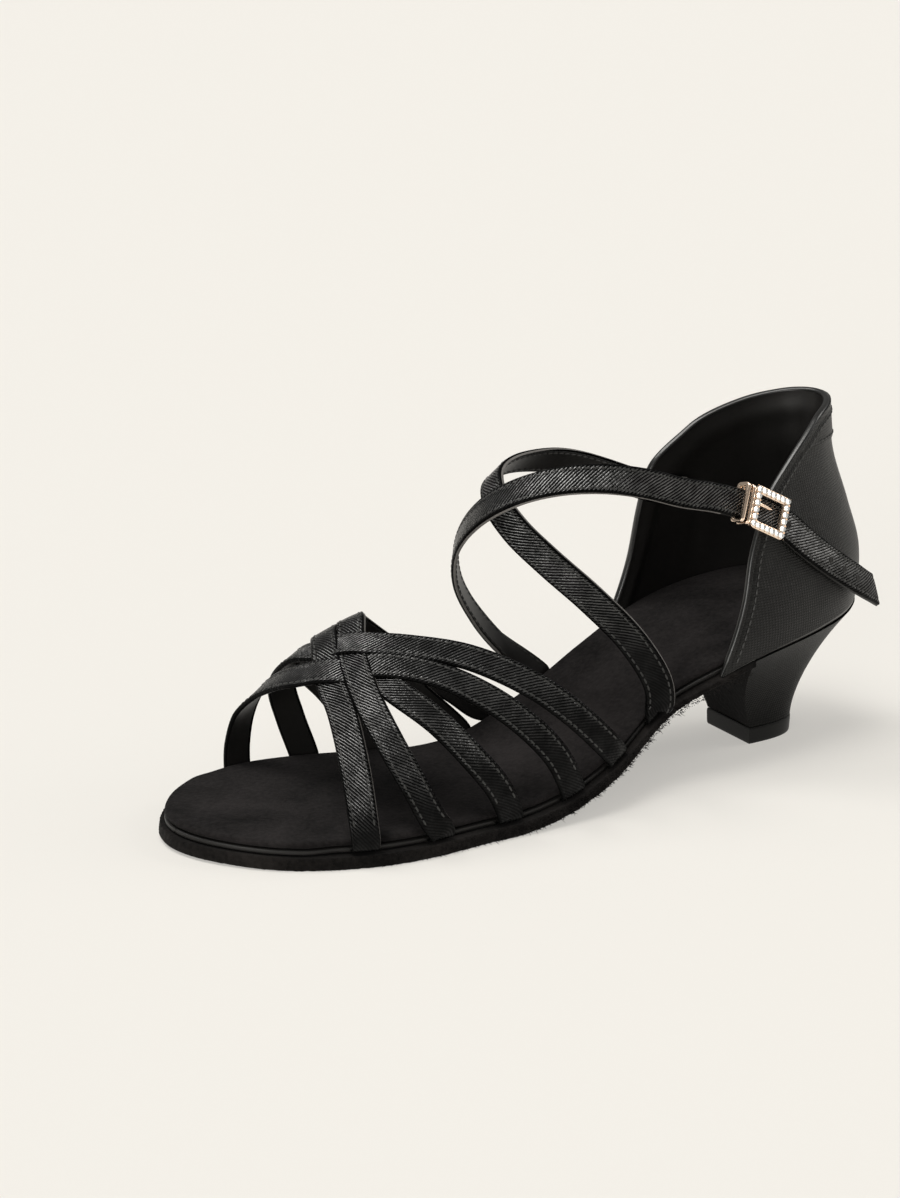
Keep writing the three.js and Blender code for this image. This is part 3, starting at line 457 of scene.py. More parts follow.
def add_piece(name, points, faces, materials, uv=None, chosen=None, sharp=35.0):
    """A mesh object at the origin with its doubles merged and its faces turned outwards."""
    mesh = bpy.data.meshes.new(name)
    mesh.from_pydata(np.asarray(points).tolist(), [], faces if isinstance(faces, list) else faces.tolist())
    if uv is not None:
        layer = mesh.uv_layers.new(name="weave")
        corner = np.empty(len(mesh.loops), dtype=np.int32)
        mesh.loops.foreach_get("vertex_index", corner)
        layer.data.foreach_set("uv", np.asarray(uv, np.float32)[corner].ravel())
    for material in materials:
        mesh.materials.append(material)
    if chosen is not None:
        mesh.polygons.foreach_set("material_index", np.asarray(chosen, np.int32))
    work = bmesh.new()
    work.from_mesh(mesh)
    bmesh.ops.remove_doubles(work, verts=work.verts, dist=1e-6)
    bmesh.ops.recalc_face_normals(work, faces=work.faces)
    work.to_mesh(mesh)
    work.free()
    mesh.shade_smooth()
    mesh.set_sharp_from_angle(angle=np.radians(sharp))
    piece = bpy.data.objects.new(name, mesh)
    bpy.context.scene.collection.objects.link(piece)
    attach(piece, "root")
    return piece


def cup_length(size, side):
    """The length of one half of the cup, from the back to its front corner."""
    return CUP_LENGTH[side] * size.sole_length


def cup_point(size, side, back, up):
    """The heel cup's outer face: the seat's outline, narrowed and leaning with the height."""
    x, from_back = sole_edge(size, side, turn_at(size, back), CLEARANCE)
    lean = hermite(CUP_PROFILE["up"], CUP_PROFILE["lean"], up) * size.cup_lean
    narrow = hermite(CUP_PROFILE["up"], CUP_PROFILE["narrow"], up)
    seat = seat_line(size, back) + 1.5 * CLEARANCE
    top = size.seat_height + size.cup_height
    return place(x * narrow, from_back + lean, seat + (top - seat) * up)


def cup_offset(size, side, back, up, distance):
    """The same face moved along its normal, the product of its slopes along and up."""
    back, up = np.broadcast_arrays(np.maximum(np.asarray(back, float), 1e-5), np.asarray(up, float))
    step = 0.4 * MM
    ahead = cup_point(size, side, back + step, up)
    ahead = ahead - cup_point(size, side, np.maximum(2e-5, back - step), up)
    rise = cup_point(size, side, back, np.minimum(1, up + 0.01))
    rise = rise - cup_point(size, side, back, np.maximum(0, up - 0.01))
    normal = -side * unit(np.cross(ahead, rise))
    middle = back < 0.05 * MM
    normal[..., 0] = np.where(middle, 0, normal[..., 0])
    return cup_point(size, side, back, up) + unit(normal) * np.asarray(distance)[..., None]


def cup_grid(size, half_columns, rows):
    """The cup's grid from the outer front corner round the back to the inner one: the distance
    from the back, the height share and the side of each of its points."""
    share = (np.abs(np.arange(-half_columns, half_columns + 1)) / half_columns) ** 1.4
    side = np.where(np.arange(-half_columns, half_columns + 1) < 0, OUTER, INNER)
    knots = np.linspace(0, 1, len(CUP_EDGE["up"]))
    long = np.where(side > 0, cup_length(size, OUTER), cup_length(size, INNER))
    outer = hermite(knots, CUP_EDGE["outer"], 1 - share)
    inner = hermite(knots, CUP_EDGE["inner"], 1 - share)
    head = long * np.where(side > 0, outer, inner)
    top = hermite(knots, CUP_EDGE["up"], 1 - share)
    v = np.linspace(0, 1, rows)[None, :]
    back = (long * share)[:, None] * (1 - v) + head[:, None] * v
    return np.maximum(back, 1e-5), v * top[:, None], side


def cup_surface(size, back, up, side, distance):
    """Points on the cup's face over the whole grid, each side from its own half of the sole."""
    outer = cup_offset(size, OUTER, back, up, distance)
    inner = cup_offset(size, INNER, back, up, distance)
    return np.where((side > 0)[:, None, None], outer, inner)


def arch_point(size, along, across, lift):
    """The vamp's arch: half a sine over the sole's width, with its crest shifted sideways."""
    along, across, lift = np.broadcast_arrays(along, across, lift)
    turn = turn_at(size, along * size.sole_length)
    inset = CLEARANCE + size.strap_thickness / 2
    outer_x, outer_back = sole_edge(size, OUTER, turn, inset)
    inner_x, inner_back = sole_edge(size, INNER, turn, inset)
    a = np.pi * across
    height = hermite(VAMP_ARCH["along"], VAMP_ARCH["height"], along) * size.vamp_height
    share = (1 + np.cos(a)) / 2
    back = inner_back + (outer_back - inner_back) * share
    base = seat_line(size, back)
    rise = (height - base) * np.maximum(np.sin(a), 0) ** 0.88
    crest = hermite(VAMP_ARCH["along"], VAMP_ARCH["crest"], along) * size.ball_width
    x = inner_x + (outer_x - inner_x) * share + crest * np.sin(a) ** 2
    return place(x, back, base + rise + lift * size.strap_thickness)


def arch_normal(size, along, across):
    """The arch's outward normal, the product of its slopes over and forward."""
    d = 0.01
    side = np.clip(across, 0.02, 0.98)
    forward = arch_point(size, along + d, side, 0) - arch_point(size, along - d, side, 0)
    over = arch_point(size, along, side + d, 0) - arch_point(size, along, side - d, 0)
    return unit(np.cross(over, forward))


def tuck(size, side, along):
    """A strap's end, from under the insole round its edge to the strap's upright start."""
    skived = 0.8 * MM
    turn = float(turn_at(size, along * size.sole_length))
    low = 2 * CLEARANCE + skived / 2
    wall = CLEARANCE + size.strap_thickness / 2
    bend = 2 * skived
    edge = sole_edge(size, side, turn)[1]
    half = size.strap_width / 2
    slope = (seat_line(size, edge + half) - seat_line(size, edge - half)) / (2 * half)
    up = unit(np.array([0, float(slope), 1]))

    def at(inset, height):
        x, back = sole_edge(size, side, turn, inset)
        return place(x, back, seat_line(size, back)) + up * height

    outward = unit(at(0, 0) - at(7 * MM, 0))
    points = [
        at(wall + bend, low),
        at(wall + 0.22 * bend, low + 0.22 * bend),
        at(wall, low + bend),
    ]
    normals = [-up, unit(outward - up), outward]
    return np.array(points), np.array(normals), np.array([skived, skived, size.strap_thickness])


def vamp_path(size, table):
    """A vamp strap's points, normals and thicknesses, with its tucked ends."""
    along, across, lift = (np.array(table[k], float) for k in ("along", "across", "lift"))
    middle = arch_point(size, along[1:-1], across[1:-1], lift[1:-1])
    normal = arch_normal(size, along[1:-1], across[1:-1])
    first = tuck(size, OUTER, along[0])
    last = tuck(size, INNER, along[-1])
    thick = np.full(len(middle), size.strap_thickness)
    return tuple(
        np.concatenate([a, b, c[::-1]]) for a, b, c in zip(first, (middle, normal, thick), last)
    )


def open_path(size, table):
    """Places in the open: a strap faces away from the leg's axis in front of the ankle, and
    straight to the side behind it, turned up by its slope."""
    along, out, up, slope = (np.array(table[k], float) for k in ("along", "out", "up", "slope"))
    instep = size.seat_height + INSTEP_SHARE * size.cup_height
    point = place(out * size.seat_width, along * size.sole_length, up * instep)
    axis = place(0, np.minimum(along, ANKLE_AT) * size.sole_length, point[:, 2])
    slope = np.radians(slope)[:, None]
    normal = unit(point - axis) * np.cos(slope) + np.array([0, 0, 1]) * np.sin(slope)
    return point, normal


def cup_path(size, side, table, distance):
    """Places on the heel cup at a distance from its face."""
    back = np.array(table["from_back"], float) * cup_length(size, side)
    up = np.array(table["up"], float)
    point = cup_offset(size, side, back, up, np.full(len(up), distance))
    beyond = cup_offset(size, side, back, up, np.full(len(up), distance + MM))
    return point, unit(beyond - point)


def instep_path(size, start, *parts):
    """An instep strap's points, normals and thicknesses: its tucked start and its other parts."""
    points, normals = (np.concatenate([p[i] for p in (start, *parts)]) for i in (0, 1))
    thick = np.full(len(points), size.strap_thickness)
    thick[: len(start[2])] = start[2]
    return points, normals, thick


def buckled_path(size):
    """The buckled strap from the inner waist to its tail."""
    return instep_path(
        size,
        tuck(size, INNER, BUCKLED_STRAP_AT),
        open_path(size, BUCKLED_STRAP),
        cup_path(size, OUTER, BUCKLED_STRAP_ON_CUP, STRAP_STANDOFF + size.strap_thickness / 2),
        open_path(size, BUCKLED_STRAP_TAIL),
    )


def cross_path(size):
    """The cross strap from the outer waist to the inside of the heel cup."""
    inside = -size.cup_wall - 2.5 * CLEARANCE - size.strap_thickness / 2
    return instep_path(
        size,
        tuck(size, OUTER, CROSS_STRAP_AT),
        open_path(size, CROSS_STRAP),
        cup_path(size, INNER, CROSS_STRAP_IN_CUP, inside),
    )


def curve_through(points, per):
    """A smooth curve through points: cubics whose knots are spaced by the root of the chord."""
    before = 2 * points[0] - points[1]
    after = 2 * points[-1] - points[-2]
    p = np.concatenate([[before], points, [after]])
    chord = np.maximum(np.sqrt(np.linalg.norm(np.diff(p, axis=0), axis=1)), 1e-6)[:, None]
    d0, d1, d2 = chord[:-2], chord[1:-1], chord[2:]
    p0, p1, p2, p3 = p[:-3], p[1:-2], p[2:-1], p[3:]
    m1 = ((p1 - p0) / d0 - (p2 - p0) / (d0 + d1) + (p2 - p1) / d1) * d1
    m2 = ((p2 - p1) / d1 - (p3 - p1) / (d1 + d2) + (p3 - p2) / d2) * d1
    t = (np.arange(per) / per)[None, :, None]
    t2, t3 = t * t, t * t * t
    a, b, c, d = (v[:, None, :] for v in (p1, p2, m1, m2))
    spans = a * (2 * t3 - 3 * t2 + 1) + b * (3 * t2 - 2 * t3) + c * (t3 - 2 * t2 + t) + d * (t3 - t2)
    return np.concatenate([spans.reshape(-1, 3), points[-1:]])


def strap_frames(points, normals, thick, per):
    """A strap's centre line with its axes across and out, and its thickness, at close steps."""
    line = curve_through(points, per)
    knots = np.arange(len(points)) * per
    steps = np.arange(len(line))
    rough = np.stack([np.interp(steps, knots, normals[:, k]) for k in range(3)], axis=-1)
    deep = np.interp(steps, knots, thick)
    tangent = unit(np.gradient(line, axis=0))
    across = unit(np.cross(tangent, rough))
    out = unit(np.cross(across, tangent))
    along = np.concatenate([[0], np.cumsum(np.linalg.norm(np.diff(line, axis=0), axis=1))])
    return {"line": line, "tangent": tangent, "across": across, "out": out, "deep": deep, "along": along}


def strap_section(width, deep):
    """A strap's section, starting under its middle: a flat lining that shows as a thin lip at
    one edge, rounded folds at the sides and a top that swells between two sewn furrows."""
    half = width / 2
    fold = 0.55 * MM
    lip = 0.22 * MM
    bend = np.radians(np.linspace(-90, 90, 7))
    bend_in = half - fold + fold * np.cos(bend)
    bend_up = np.sign(np.sin(bend)) * np.abs(np.sin(bend)) ** 0.7
    lining_in = np.array([0, 0.35, 0.7, 0.84, 0.87]) * half
    lining_up = np.array([-1, -1, -1, -0.96, -0.8])
    top_in = np.array([0.86, 0.77, 0.69, 0.61, 0.5, 0.36, 0.18, 0]) * half
    swell = np.array([1.0, 0.97, 0.84, 0.97, 1.03, 1.06, 1.08, 1.08])
    right_in = np.concatenate([lining_in, bend_in, top_in])
    right_up = np.concatenate([lining_up, bend_up, swell])
    left_in = right_in.copy()
    right_in[5:8] = half + lip * np.array([0.7, 1, 0.9])
    right_up[5:8] = [-0.98, -0.72, -0.4]
    across = np.concatenate([right_in, -left_in[1:-1][::-1]])
    up = np.concatenate([right_up, right_up[1:-1][::-1]])
    return across, up[None, :] * deep[:, None] / 2


def strap_mesh(path, width, per=8, slant=0.0):
    """A strap's section carried along its path, with the weave's map along and across it. The
    end is cut on a slant: its last stretch is drawn back by the slant's tangent over the width.
    The materials are 0 for the face, 1 for the lining and 2 for the lining's lip."""
    f = strap_frames(*path, per)
    across, up = strap_section(width, f["deep"])
    late = np.clip((f["along"] - f["along"][-1]) / TAIL_CUT + 1, 0, 1)
    cut = late[:, None] * np.tan(slant) * (across - width / 2)[None, :]
    rings = (
        f["line"][:, None, :]
        + f["across"][:, None, :] * across[None, :, None]
        + f["out"][:, None, :] * up[..., None]
        + f["tangent"][:, None, :] * cut[..., None]
    )
    points, faces = tube(rings)
    u = (f["along"][:, None] + cut).ravel()
    v = np.tile(across, rings.shape[0])
    uv = np.concatenate([np.stack([u, v], axis=-1), [[0, 0], [f["along"][-1], 0]]])
    count = rings.shape[1]
    kinds = np.zeros(count, int)
    kinds[:4] = 1
    kinds[-4:] = 1
    kinds[5:8] = 2
    chosen = np.concatenate([np.tile(kinds, rings.shape[0] - 1), np.zeros(2 * count, int)])
    return points, faces, uv, chosen, f


def turned_rings(radius, height, turn):
    """The rings of a small turned form, each with its own radius and height."""
    x, y = radius[:, None] * np.cos(turn), radius[:, None] * np.sin(turn)
    return np.stack([x, y, np.broadcast_to(height[:, None], x.shape)], axis=-1)


def stitches(size, centres, along, out):
    """A row of stitches: each is a small six-sided bar with pinched ends, a third sunk in."""
    ends = np.array([-0.5, -0.38, 0, 0.38, 0.5])
    thick = np.array([0.35, 0.85, 1, 0.85, 0.35]) * 0.3 * MM
    turn = np.linspace(0, 2 * np.pi, 6, endpoint=False)
    wide, tall = thick[:, None] * np.cos(turn), thick[:, None] * np.sin(turn) * 0.7
    long = np.broadcast_to(ends[:, None] * size.stitch, wide.shape)
    points, faces = tube(np.stack([long, wide, tall], axis=-1))
    frames = np.stack([along, np.cross(out, along), out], axis=1)
    return scatter(points, faces, centres, frames)


def row_along(line, pitch, start=0.0, end=None):
    """Places at an even pitch along a line of points, as an index with fractions."""
    run = np.concatenate([[0], np.cumsum(np.linalg.norm(np.diff(line, axis=0), axis=1))])
    stop = run[-1] if end is None else end
    at = np.arange(start + pitch / 2, stop, pitch)
    return np.interp(at, run, np.arange(len(line)))


def pick(values, at):
    """Values of a row of vectors at places given as an index with fractions."""
    i = np.clip(at.astype(int), 0, len(values) - 2)
    t = (at - i)[:, None]
    return values[i] * (1 - t) + values[i + 1] * t


def node(tree, kind, values=None, links=None):
    """Adds a node, sets its properties and sockets by name or number, and links its inputs."""
    made = tree.nodes.new(kind)
    for key, value in (values or {}).items():
        if isinstance(key, str) and hasattr(made, key):
            setattr(made, key, value)
        else:
            made.inputs[key].default_value = value
    for key, source in (links or {}).items():
        tree.links.new(source, made.inputs[key])
    return made


def material(name, settings):
    """A material with one main shader, whose sockets are set by name."""
    made = bpy.data.materials.new(name)
    made.use_nodes = True
    tree = made.node_tree
    shader = tree.nodes["Principled BSDF"]
    for key, value in settings.items():
        shader.inputs[key].default_value = value
    return made, tree, shader


def ramp(tree, source, stops):
    """A colour ramp over a value, from (place, colour) stops."""
    made = node(tree, "ShaderNodeValToRGB", None, {"Fac": source})
    band = made.color_ramp
    for i, (at, colour) in enumerate(stops):
        point = band.elements[i] if i < 2 else band.elements.new(at)
        point.position = at
        point.color = colour
    return made.outputs["Color"]


def shade(colour, factor):
    """A colour made lighter or darker, with an alpha of 1."""
    return [min(1.0, c * factor) for c in colour[:3]] + [1.0]


def rib_satin(size, colours):
    """Twill-backed satin ribbon: woven filament yarn, so its slanting ribs flash where the light
    grazes them and the rest stays near black. The ribs are drawn at 0.82 mm, not their real
    0.6 mm, so that they show."""
    made, tree, shader = material("woven_rib_satin", {"Roughness": 0.25, "IOR": 1.6})
    weave = node(tree, "ShaderNodeUVMap", {"uv_map": "weave"}).outputs["UV"]
    slant = {"Rotation": (0, 0, np.radians(-50))}
    turned = node(tree, "ShaderNodeMapping", slant, {"Vector": weave})
    waver = node(tree, "ShaderNodeTexNoise", {"Scale": 1100.0, "Detail": 2.0}, {"Vector": weave})
    bands = {"bands_direction": "X", "Distortion": 1.2, "Detail": 2.0, "Detail Scale": 2.0}
    bands["Scale"] = WAVE_REPEAT / size.twill
    ribs = node(tree, "ShaderNodeTexWave", bands, {"Vector": turned.outputs["Vector"]})
    # The fold along each edge is pressed flat, and its ribs there fade to the dark groove colour with less
    # gloss: painted shade from the furrow beside it.
    flat = node(tree, "ShaderNodeSeparateXYZ", None, {"Vector": weave})
    away = node(tree, "ShaderNodeMath", {"operation": "ABSOLUTE"}, {0: flat.outputs["Y"]})
    edge = size.strap_width / 2
    fold = {"From Min": edge - 0.9 * MM, "From Max": edge - 0.3 * MM, "To Min": 1.0, "To Max": 0.25}
    edge_press_and_shade = node(tree, "ShaderNodeMapRange", fold, {"Value": away.outputs["Value"]})
    ribs = node(tree, "ShaderNodeMath", MULTIPLY, {0: ribs.outputs["Fac"], 1: edge_press_and_shade.outputs["Result"]})
    # Painted shade by facing: where a face turns to the side, its ribs lose their lighter and darker
    # colour, their bump and their gloss.
    facing = node(tree, "ShaderNodeNewGeometry")
    upright = node(tree, "ShaderNodeSeparateXYZ", None, {"Vector": facing.outputs["Normal"]})
    slope = {"From Min": 0.2, "From Max": 0.6, "To Min": 0.14, "To Max": 1.0}
    lit_by_facing = node(tree, "ShaderNodeMapRange", slope, {"Value": upright.outputs["Z"]})
    # Over the instep the painted shade is lifted, and the straps keep their ribs and gloss at any slope
    # there.
    here = node(tree, "ShaderNodeTexCoord").outputs["Object"]
    level = node(tree, "ShaderNodeSeparateXYZ", None, {"Vector": here})
    instep = {"From Min": 40 * MM, "From Max": 64 * MM, "To Min": 0.0, "To Max": 1.0}
    free = node(tree, "ShaderNodeMapRange", instep, {"Value": level.outputs["Z"]})
    either = {0: lit_by_facing.outputs["Result"], 1: free.outputs["Result"]}
    painted_lit_share = node(tree, "ShaderNodeMath", {"operation": "MAXIMUM"}, either).outputs["Value"]
    mean = 0.45
    below = {"operation": "SUBTRACT", 1: mean}
    lower = node(tree, "ShaderNodeMath", below, {0: ribs.outputs["Value"]})
    fading = {"operation": "MULTIPLY_ADD", 2: mean}
    faded = node(tree, "ShaderNodeMath", fading, {0: lower.outputs["Value"], 1: painted_lit_share})
    height = faded.outputs["Value"]
    # The grooves are painted dark and the crests light: painted shade and painted sheen on the ribs.
    stops = [(0.3, shade(colours.twill, 0.3)), (0.8, shade(colours.twill, 2.2))]
    tree.links.new(ramp(tree, height, stops), shader.inputs["Base Color"])
    crests = {"From Min": 0.3, "From Max": 0.8, "To Min": 0.03, "To Max": 1.0}
    shine = node(tree, "ShaderNodeMapRange", crests, {"Value": height})
    gloss = node(tree, "ShaderNodeMath", MULTIPLY, {0: shine.outputs["Result"], 1: painted_lit_share})
    # Rubbed and fresh places lie side by side along each strap.
    patches = {"Scale": 210.0, "Detail": 3.0, "Roughness": 0.6}
    clouds = node(tree, "ShaderNodeTexNoise", patches, {"Vector": here})
    wear = {"From Min": 0.38, "From Max": 0.64, "To Min": 0.55, "To Max": 1.5}
    rubbed = node(tree, "ShaderNodeMapRange", wear, {"Value": clouds.outputs["Fac"]})
    both = {0: gloss.outputs["Value"], 1: rubbed.outputs["Result"]}
    patchy = node(tree, "ShaderNodeMath", MULTIPLY, both)
    tree.links.new(patchy.outputs["Value"], shader.inputs["Specular IOR Level"])
    yarn = {"Strength": 0.5, "Distance": 0.3 * MM}
    fine = node(tree, "ShaderNodeBump", yarn, {"Height": waver.outputs["Fac"]})
    ridges = {"Strength": 0.9, "Distance": 0.17 * MM}
    bump = node(tree, "ShaderNodeBump", ridges, {"Height": height, "Normal": fine.outputs["Normal"]})
    tree.links.new(bump.outputs["Normal"], shader.inputs["Normal"])
    return made


def grained(name, colour, settings, grain, depth, spread=0.2, patches=None, cloud=30.0, threads=None):
    """A material with a fine grain in its bump and soft patches in its colour, which vary by
    spread or between the two factors of patches. grain is the size of a grain in metres, depth its
    height, cloud the number of patches in a metre, and threads the distance between the threads
    of woven cloth."""
    made, tree, shader = material(name, settings)
    here = {"Vector": node(tree, "ShaderNodeTexCoord").outputs["Object"]}
    grains = {"Scale": 0.5 / grain, "Detail": 3.0, "Roughness": 0.6}
    fine = node(tree, "ShaderNodeTexNoise", grains, here)
    clouds = {"Scale": cloud, "Detail": 4.0, "Roughness": 0.55, "Distortion": 0.4}
    broad = node(tree, "ShaderNodeTexNoise", clouds, here)
    weight = {"operation": "MULTIPLY_ADD", 1: 0.5}
    both = node(tree, "ShaderNodeMath", weight, {0: fine.outputs["Fac"], 2: broad.outputs["Fac"]})
    low, high = patches or (1 - spread, 1 + spread)
    stops = [(0.55, shade(colour, low)), (0.95, shade(colour, high))]
    tree.links.new(ramp(tree, both.outputs["Value"], stops), shader.inputs["Base Color"])
    height = fine.outputs["Fac"]
    if threads:
        # Warp and weft cross: a wave round the shoe and one up it are multiplied.
        turned = node(tree, "ShaderNodeMapping", {"Rotation": (0, 0, np.radians(45))}, here)
        for way in ("X", "Z"):
            bands = {"bands_direction": way, "Scale": WAVE_REPEAT / threads, "Distortion": 0.8}
            wave = node(tree, "ShaderNodeTexWave", bands, {"Vector": turned.outputs["Vector"]})
            crossed = node(tree, "ShaderNodeMath", MULTIPLY, {0: height, 1: wave.outputs["Fac"]})
            height = crossed.outputs["Value"]
    bump = node(tree, "ShaderNodeBump", {"Strength": 0.7, "Distance": depth}, {"Height": height})
    tree.links.new(bump.outputs["Normal"], shader.inputs["Normal"])
    return made


def smooth_satin(name, colour, shine=0.26):
    """Smooth satin over a firm backing: dense filament yarn with a soft broad highlight, which
    its threads break a little. They are drawn 0.8 mm apart, not their real 0.3 mm, so that they
    show."""
    settings = {"Roughness": 0.44, "Specular IOR Level": shine}
    return grained(name, colour, settings, 1.2 * MM, 0.3 * MM, 0.45, threads=0.8 * MM)


def coated_lining(colours):
    """Coated lining cloth: a thin plastic film on knitted cloth, smooth with a dull gloss."""
    settings = {"Roughness": 0.4, "Specular IOR Level": 0.3}
    return grained("coated_lining", colours.lining, settings, 0.6 * MM, 0.04 * MM, 0.15)


def edge_binding(name, colour):
    """Tightly drawn binding tape or a tight fold: its gloss gives a bright line along its crest, and a
    lighter colour passed in adds a painted highlight.
    """
    settings = {"Roughness": 0.3, "Specular IOR Level": 0.7}
    return grained(name, colour, settings, 0.4 * MM, 0.05 * MM, 0.2)


def painted_lip_highlight(colours):
    """Lip of the coated lining along one edge of a strap: painted twelve times lighter than the lining, a
    painted highlight that shows as a thin bright line.
    """
    settings = {"Roughness": 0.6, "Specular IOR Level": 0.4}
    return grained("painted_lip_highlight", shade(colours.lining, 12), settings, 0.3 * MM, 0.05 * MM, 0.3)


def napped_suede(name, colour):
    """Microfibre suede: a short standing nap, so it has no gloss and shows pale and dark patches
    where it was stroked one way or the other."""
    settings = {
        "Roughness": 0.95,
        "Specular IOR Level": 0.08,
        "Sheen Weight": 0.02,
        "Sheen Roughness": 0.6,
    }
    return grained(name, colour, settings, 0.7 * MM, 0.45 * MM, patches=(0.3, 2.0), cloud=38.0)


def hard_rubber(colours):
    """Moulded hard rubber of the heel tip: even and dark, with a low gloss from the mould."""
    settings = {"Roughness": 0.38, "Specular IOR Level": 0.2}
    return grained("hard_rubber", colours.tip, settings, 0.5 * MM, 0.03 * MM, 0.1)


def thread(colours):
    """Bonded sewing thread, a little brighter than the satin round it."""
    settings = {"Roughness": 0.5, "Specular IOR Level": 0.5}
    return grained("sewing_thread", shade(colours.satin, 3.5), settings, 0.1 * MM, 0.03 * MM, 0.15)


def rose_plate(colours):
    """Rose-gold plate on cast zinc alloy: polished, with a trace of wear in its gloss."""
    settings = {"Metallic": 1.0, "Roughness": 0.16}
    return grained("rose_gold_plate", colours.metal, settings, 1.2 * MM, 0.008 * MM, 0.08)


def foiled_stone(colours):
    """Cut glass with a silver foil behind it: it mirrors its surroundings off every facet."""
    settings = {"Metallic": 0.6, "Roughness": 0.08, "Coat Weight": 1.0, "Coat Roughness": 0.02}
    return grained("foiled_glass_stone", colours.stone, settings, 2 * MM, 0.002 * MM, 0.05)


def materials(context):
    """All the shoe's materials by name, made once."""
    size, colours = context.scene.dance_shoe_sizes, context.scene.dance_shoe_colours
    makers = {
        "woven_rib_satin": lambda: rib_satin(size, colours),
        "smooth_satin": lambda: smooth_satin("smooth_satin", colours.satin),
        # The heel's satin is the cup's, painted darker as shade under the sole, and with less gloss.
        "heel_satin_painted_shade": lambda: smooth_satin("heel_satin_painted_shade", shade(colours.satin, 0.8), 0.08),
        "edge_binding": lambda: edge_binding("edge_binding", colours.satin),
        # The cup's foot is painted five times lighter than its satin, a painted highlight.
        "lower_fold_painted_highlight": lambda: edge_binding("lower_fold_painted_highlight", shade(colours.satin, 5)),
        "coated_lining": lambda: coated_lining(colours),
        "painted_lip_highlight": lambda: painted_lip_highlight(colours),
        "sock_microfibre": lambda: napped_suede("sock_microfibre", colours.sock),
        "sole_suede": lambda: napped_suede("sole_suede", colours.suede),
        # The breast's dark suede is painted shade.
        "breast_painted_shade": lambda: napped_suede("breast_painted_shade", shade(colours.suede, 0.3)),
        "hard_rubber": lambda: hard_rubber(colours),
        "sewing_thread": lambda: thread(colours),
        "rose_gold_plate": lambda: rose_plate(colours),
        "foiled_glass_stone": lambda: foiled_stone(colours),
    }
    return {name: bpy.data.materials.get(name) or make() for name, make in makers.items()}


class SHOE_OT_stage(bpy.types.Operator):
    """Adds the floor, the light and the camera"""

    bl_idname = "dance_shoe.stage"
    bl_label = "Stage"

    def execute(self, context):
        scene = context.scene
        colours = scene.dance_shoe_colours
        mesh = bpy.data.meshes.new("floor")
        reach = 8
        corners = [(reach * x, reach * y, 0) for x, y in ((-1, -1), (1, -1), (1, 1), (-1, 1))]
        mesh.from_pydata(corners, [], [(0, 1, 2, 3)])
        # The floor is a sheet of opal plastic that is also lit from below, so shadows stay pale.
        made, _, _ = material(
            "opal_floor",
            {
                "Base Color": [0.43 * c for c in colours.floor[:3]] + [1.0],
                "Roughness": 0.9,
                "Specular IOR Level": 0.1,
                "Emission Color": list(colours.floor),
                "Emission Strength": 0.465,
            },
        )
        mesh.materials.append(made)
        floor = bpy.data.objects.new("floor", mesh)
        scene.collection.objects.link(floor)

        scene.world = studio_light()
        scene.view_settings.view_transform = "Standard"
        scene.view_settings.look = "None"
        scene.camera = photo_camera(scene)
        return {"FINISHED"}


def studio_light():
    """A dim even room with round soft lamps in it, each so far away that the floor stays even."""
    world = bpy.data.worlds.new("studio")
    world.use_nodes = True
    tree = world.node_tree
    towards = node(tree, "ShaderNodeTexCoord").outputs["Generated"]
    # Each lamp: its direction, the angles in degrees where it starts to fade and ends, and its
    # brightness. They stand overhead, at the upper left, low behind the heel and low before the toe.
    lamps = (
        ((0.05, -0.27, 1.0), 8, 21, 7.6),
        ((-0.45, -0.35, 0.82), 8, 16, 7.2),
        ((0.25, 1.0, 0.6), 8, 18, 4.0),
        ((0.5, -0.86, 0.14), 8, 20, 6.5),
    )
    even = 0.24
    total = {}
    for direction, inner, outer, bright in lamps:
        aim = {"operation": "DOT_PRODUCT", 1: unit(np.array(direction)).tolist()}
        near = node(tree, "ShaderNodeVectorMath", aim, {0: towards})
        fading = {
            "interpolation_type": "SMOOTHSTEP",
            "From Min": float(np.cos(np.radians(outer))),
            "From Max": float(np.cos(np.radians(inner))),
            "To Max": bright,
        }
        lamp = node(tree, "ShaderNodeMapRange", fading, {"Value": near.outputs["Value"]})
        # The first lamp is added to the even light, each other one to the sum so far.
        links = {0: lamp.outputs["Result"], **total}
        total = {1: node(tree, "ShaderNodeMath", {"operation": "ADD", 1: even}, links).outputs["Value"]}
    background = tree.nodes["Background"]
    background.inputs["Color"].default_value = linear("#fffdf9")
    tree.links.new(total[1], background.inputs["Strength"])
    return world


def photo_camera(scene):
    """The camera at the photo's angle to the shoe: its turn, height and roll about the shoe's
    middle, then swung so that the middle lies where the photo has it."""
    turn, rise, roll = np.radians([53.972, 19.446, 2.159])
    distance, focal = 1.8754, 6457.0
    target = np.array([0, -0.0744, 0.045])
    seen_at = np.array([106.937, 28.048])
    back = np.array([np.sin(turn) * np.cos(rise), -np.cos(turn) * np.cos(rise), np.sin(rise)])
    level = np.array([np.cos(turn), np.sin(turn), 0])
    above = np.cross(back, level)
    right = np.cos(roll) * level + np.sin(roll) * above
    up = -np.sin(roll) * level + np.cos(roll) * above
    forward = unit(-back - right * seen_at[0] / focal + up * seen_at[1] / focal)
    right = unit(right - forward * np.dot(right, forward))
    up = np.cross(right, forward)
    lens = bpy.data.cameras.new("photo_camera")
    lens.sensor_width = 36
    lens.lens = focal * lens.sensor_width / PHOTO_HEIGHT
    lens.clip_end = 50
    camera = bpy.data.objects.new("photo_camera", lens)
    spot = target + back * distance
    turned = np.stack([right, up, -forward], axis=1)
    camera.matrix_world = Matrix.Translation(Vector(spot)) @ Matrix(turned.tolist()).to_4x4()
    scene.collection.objects.link(camera)
    return camera


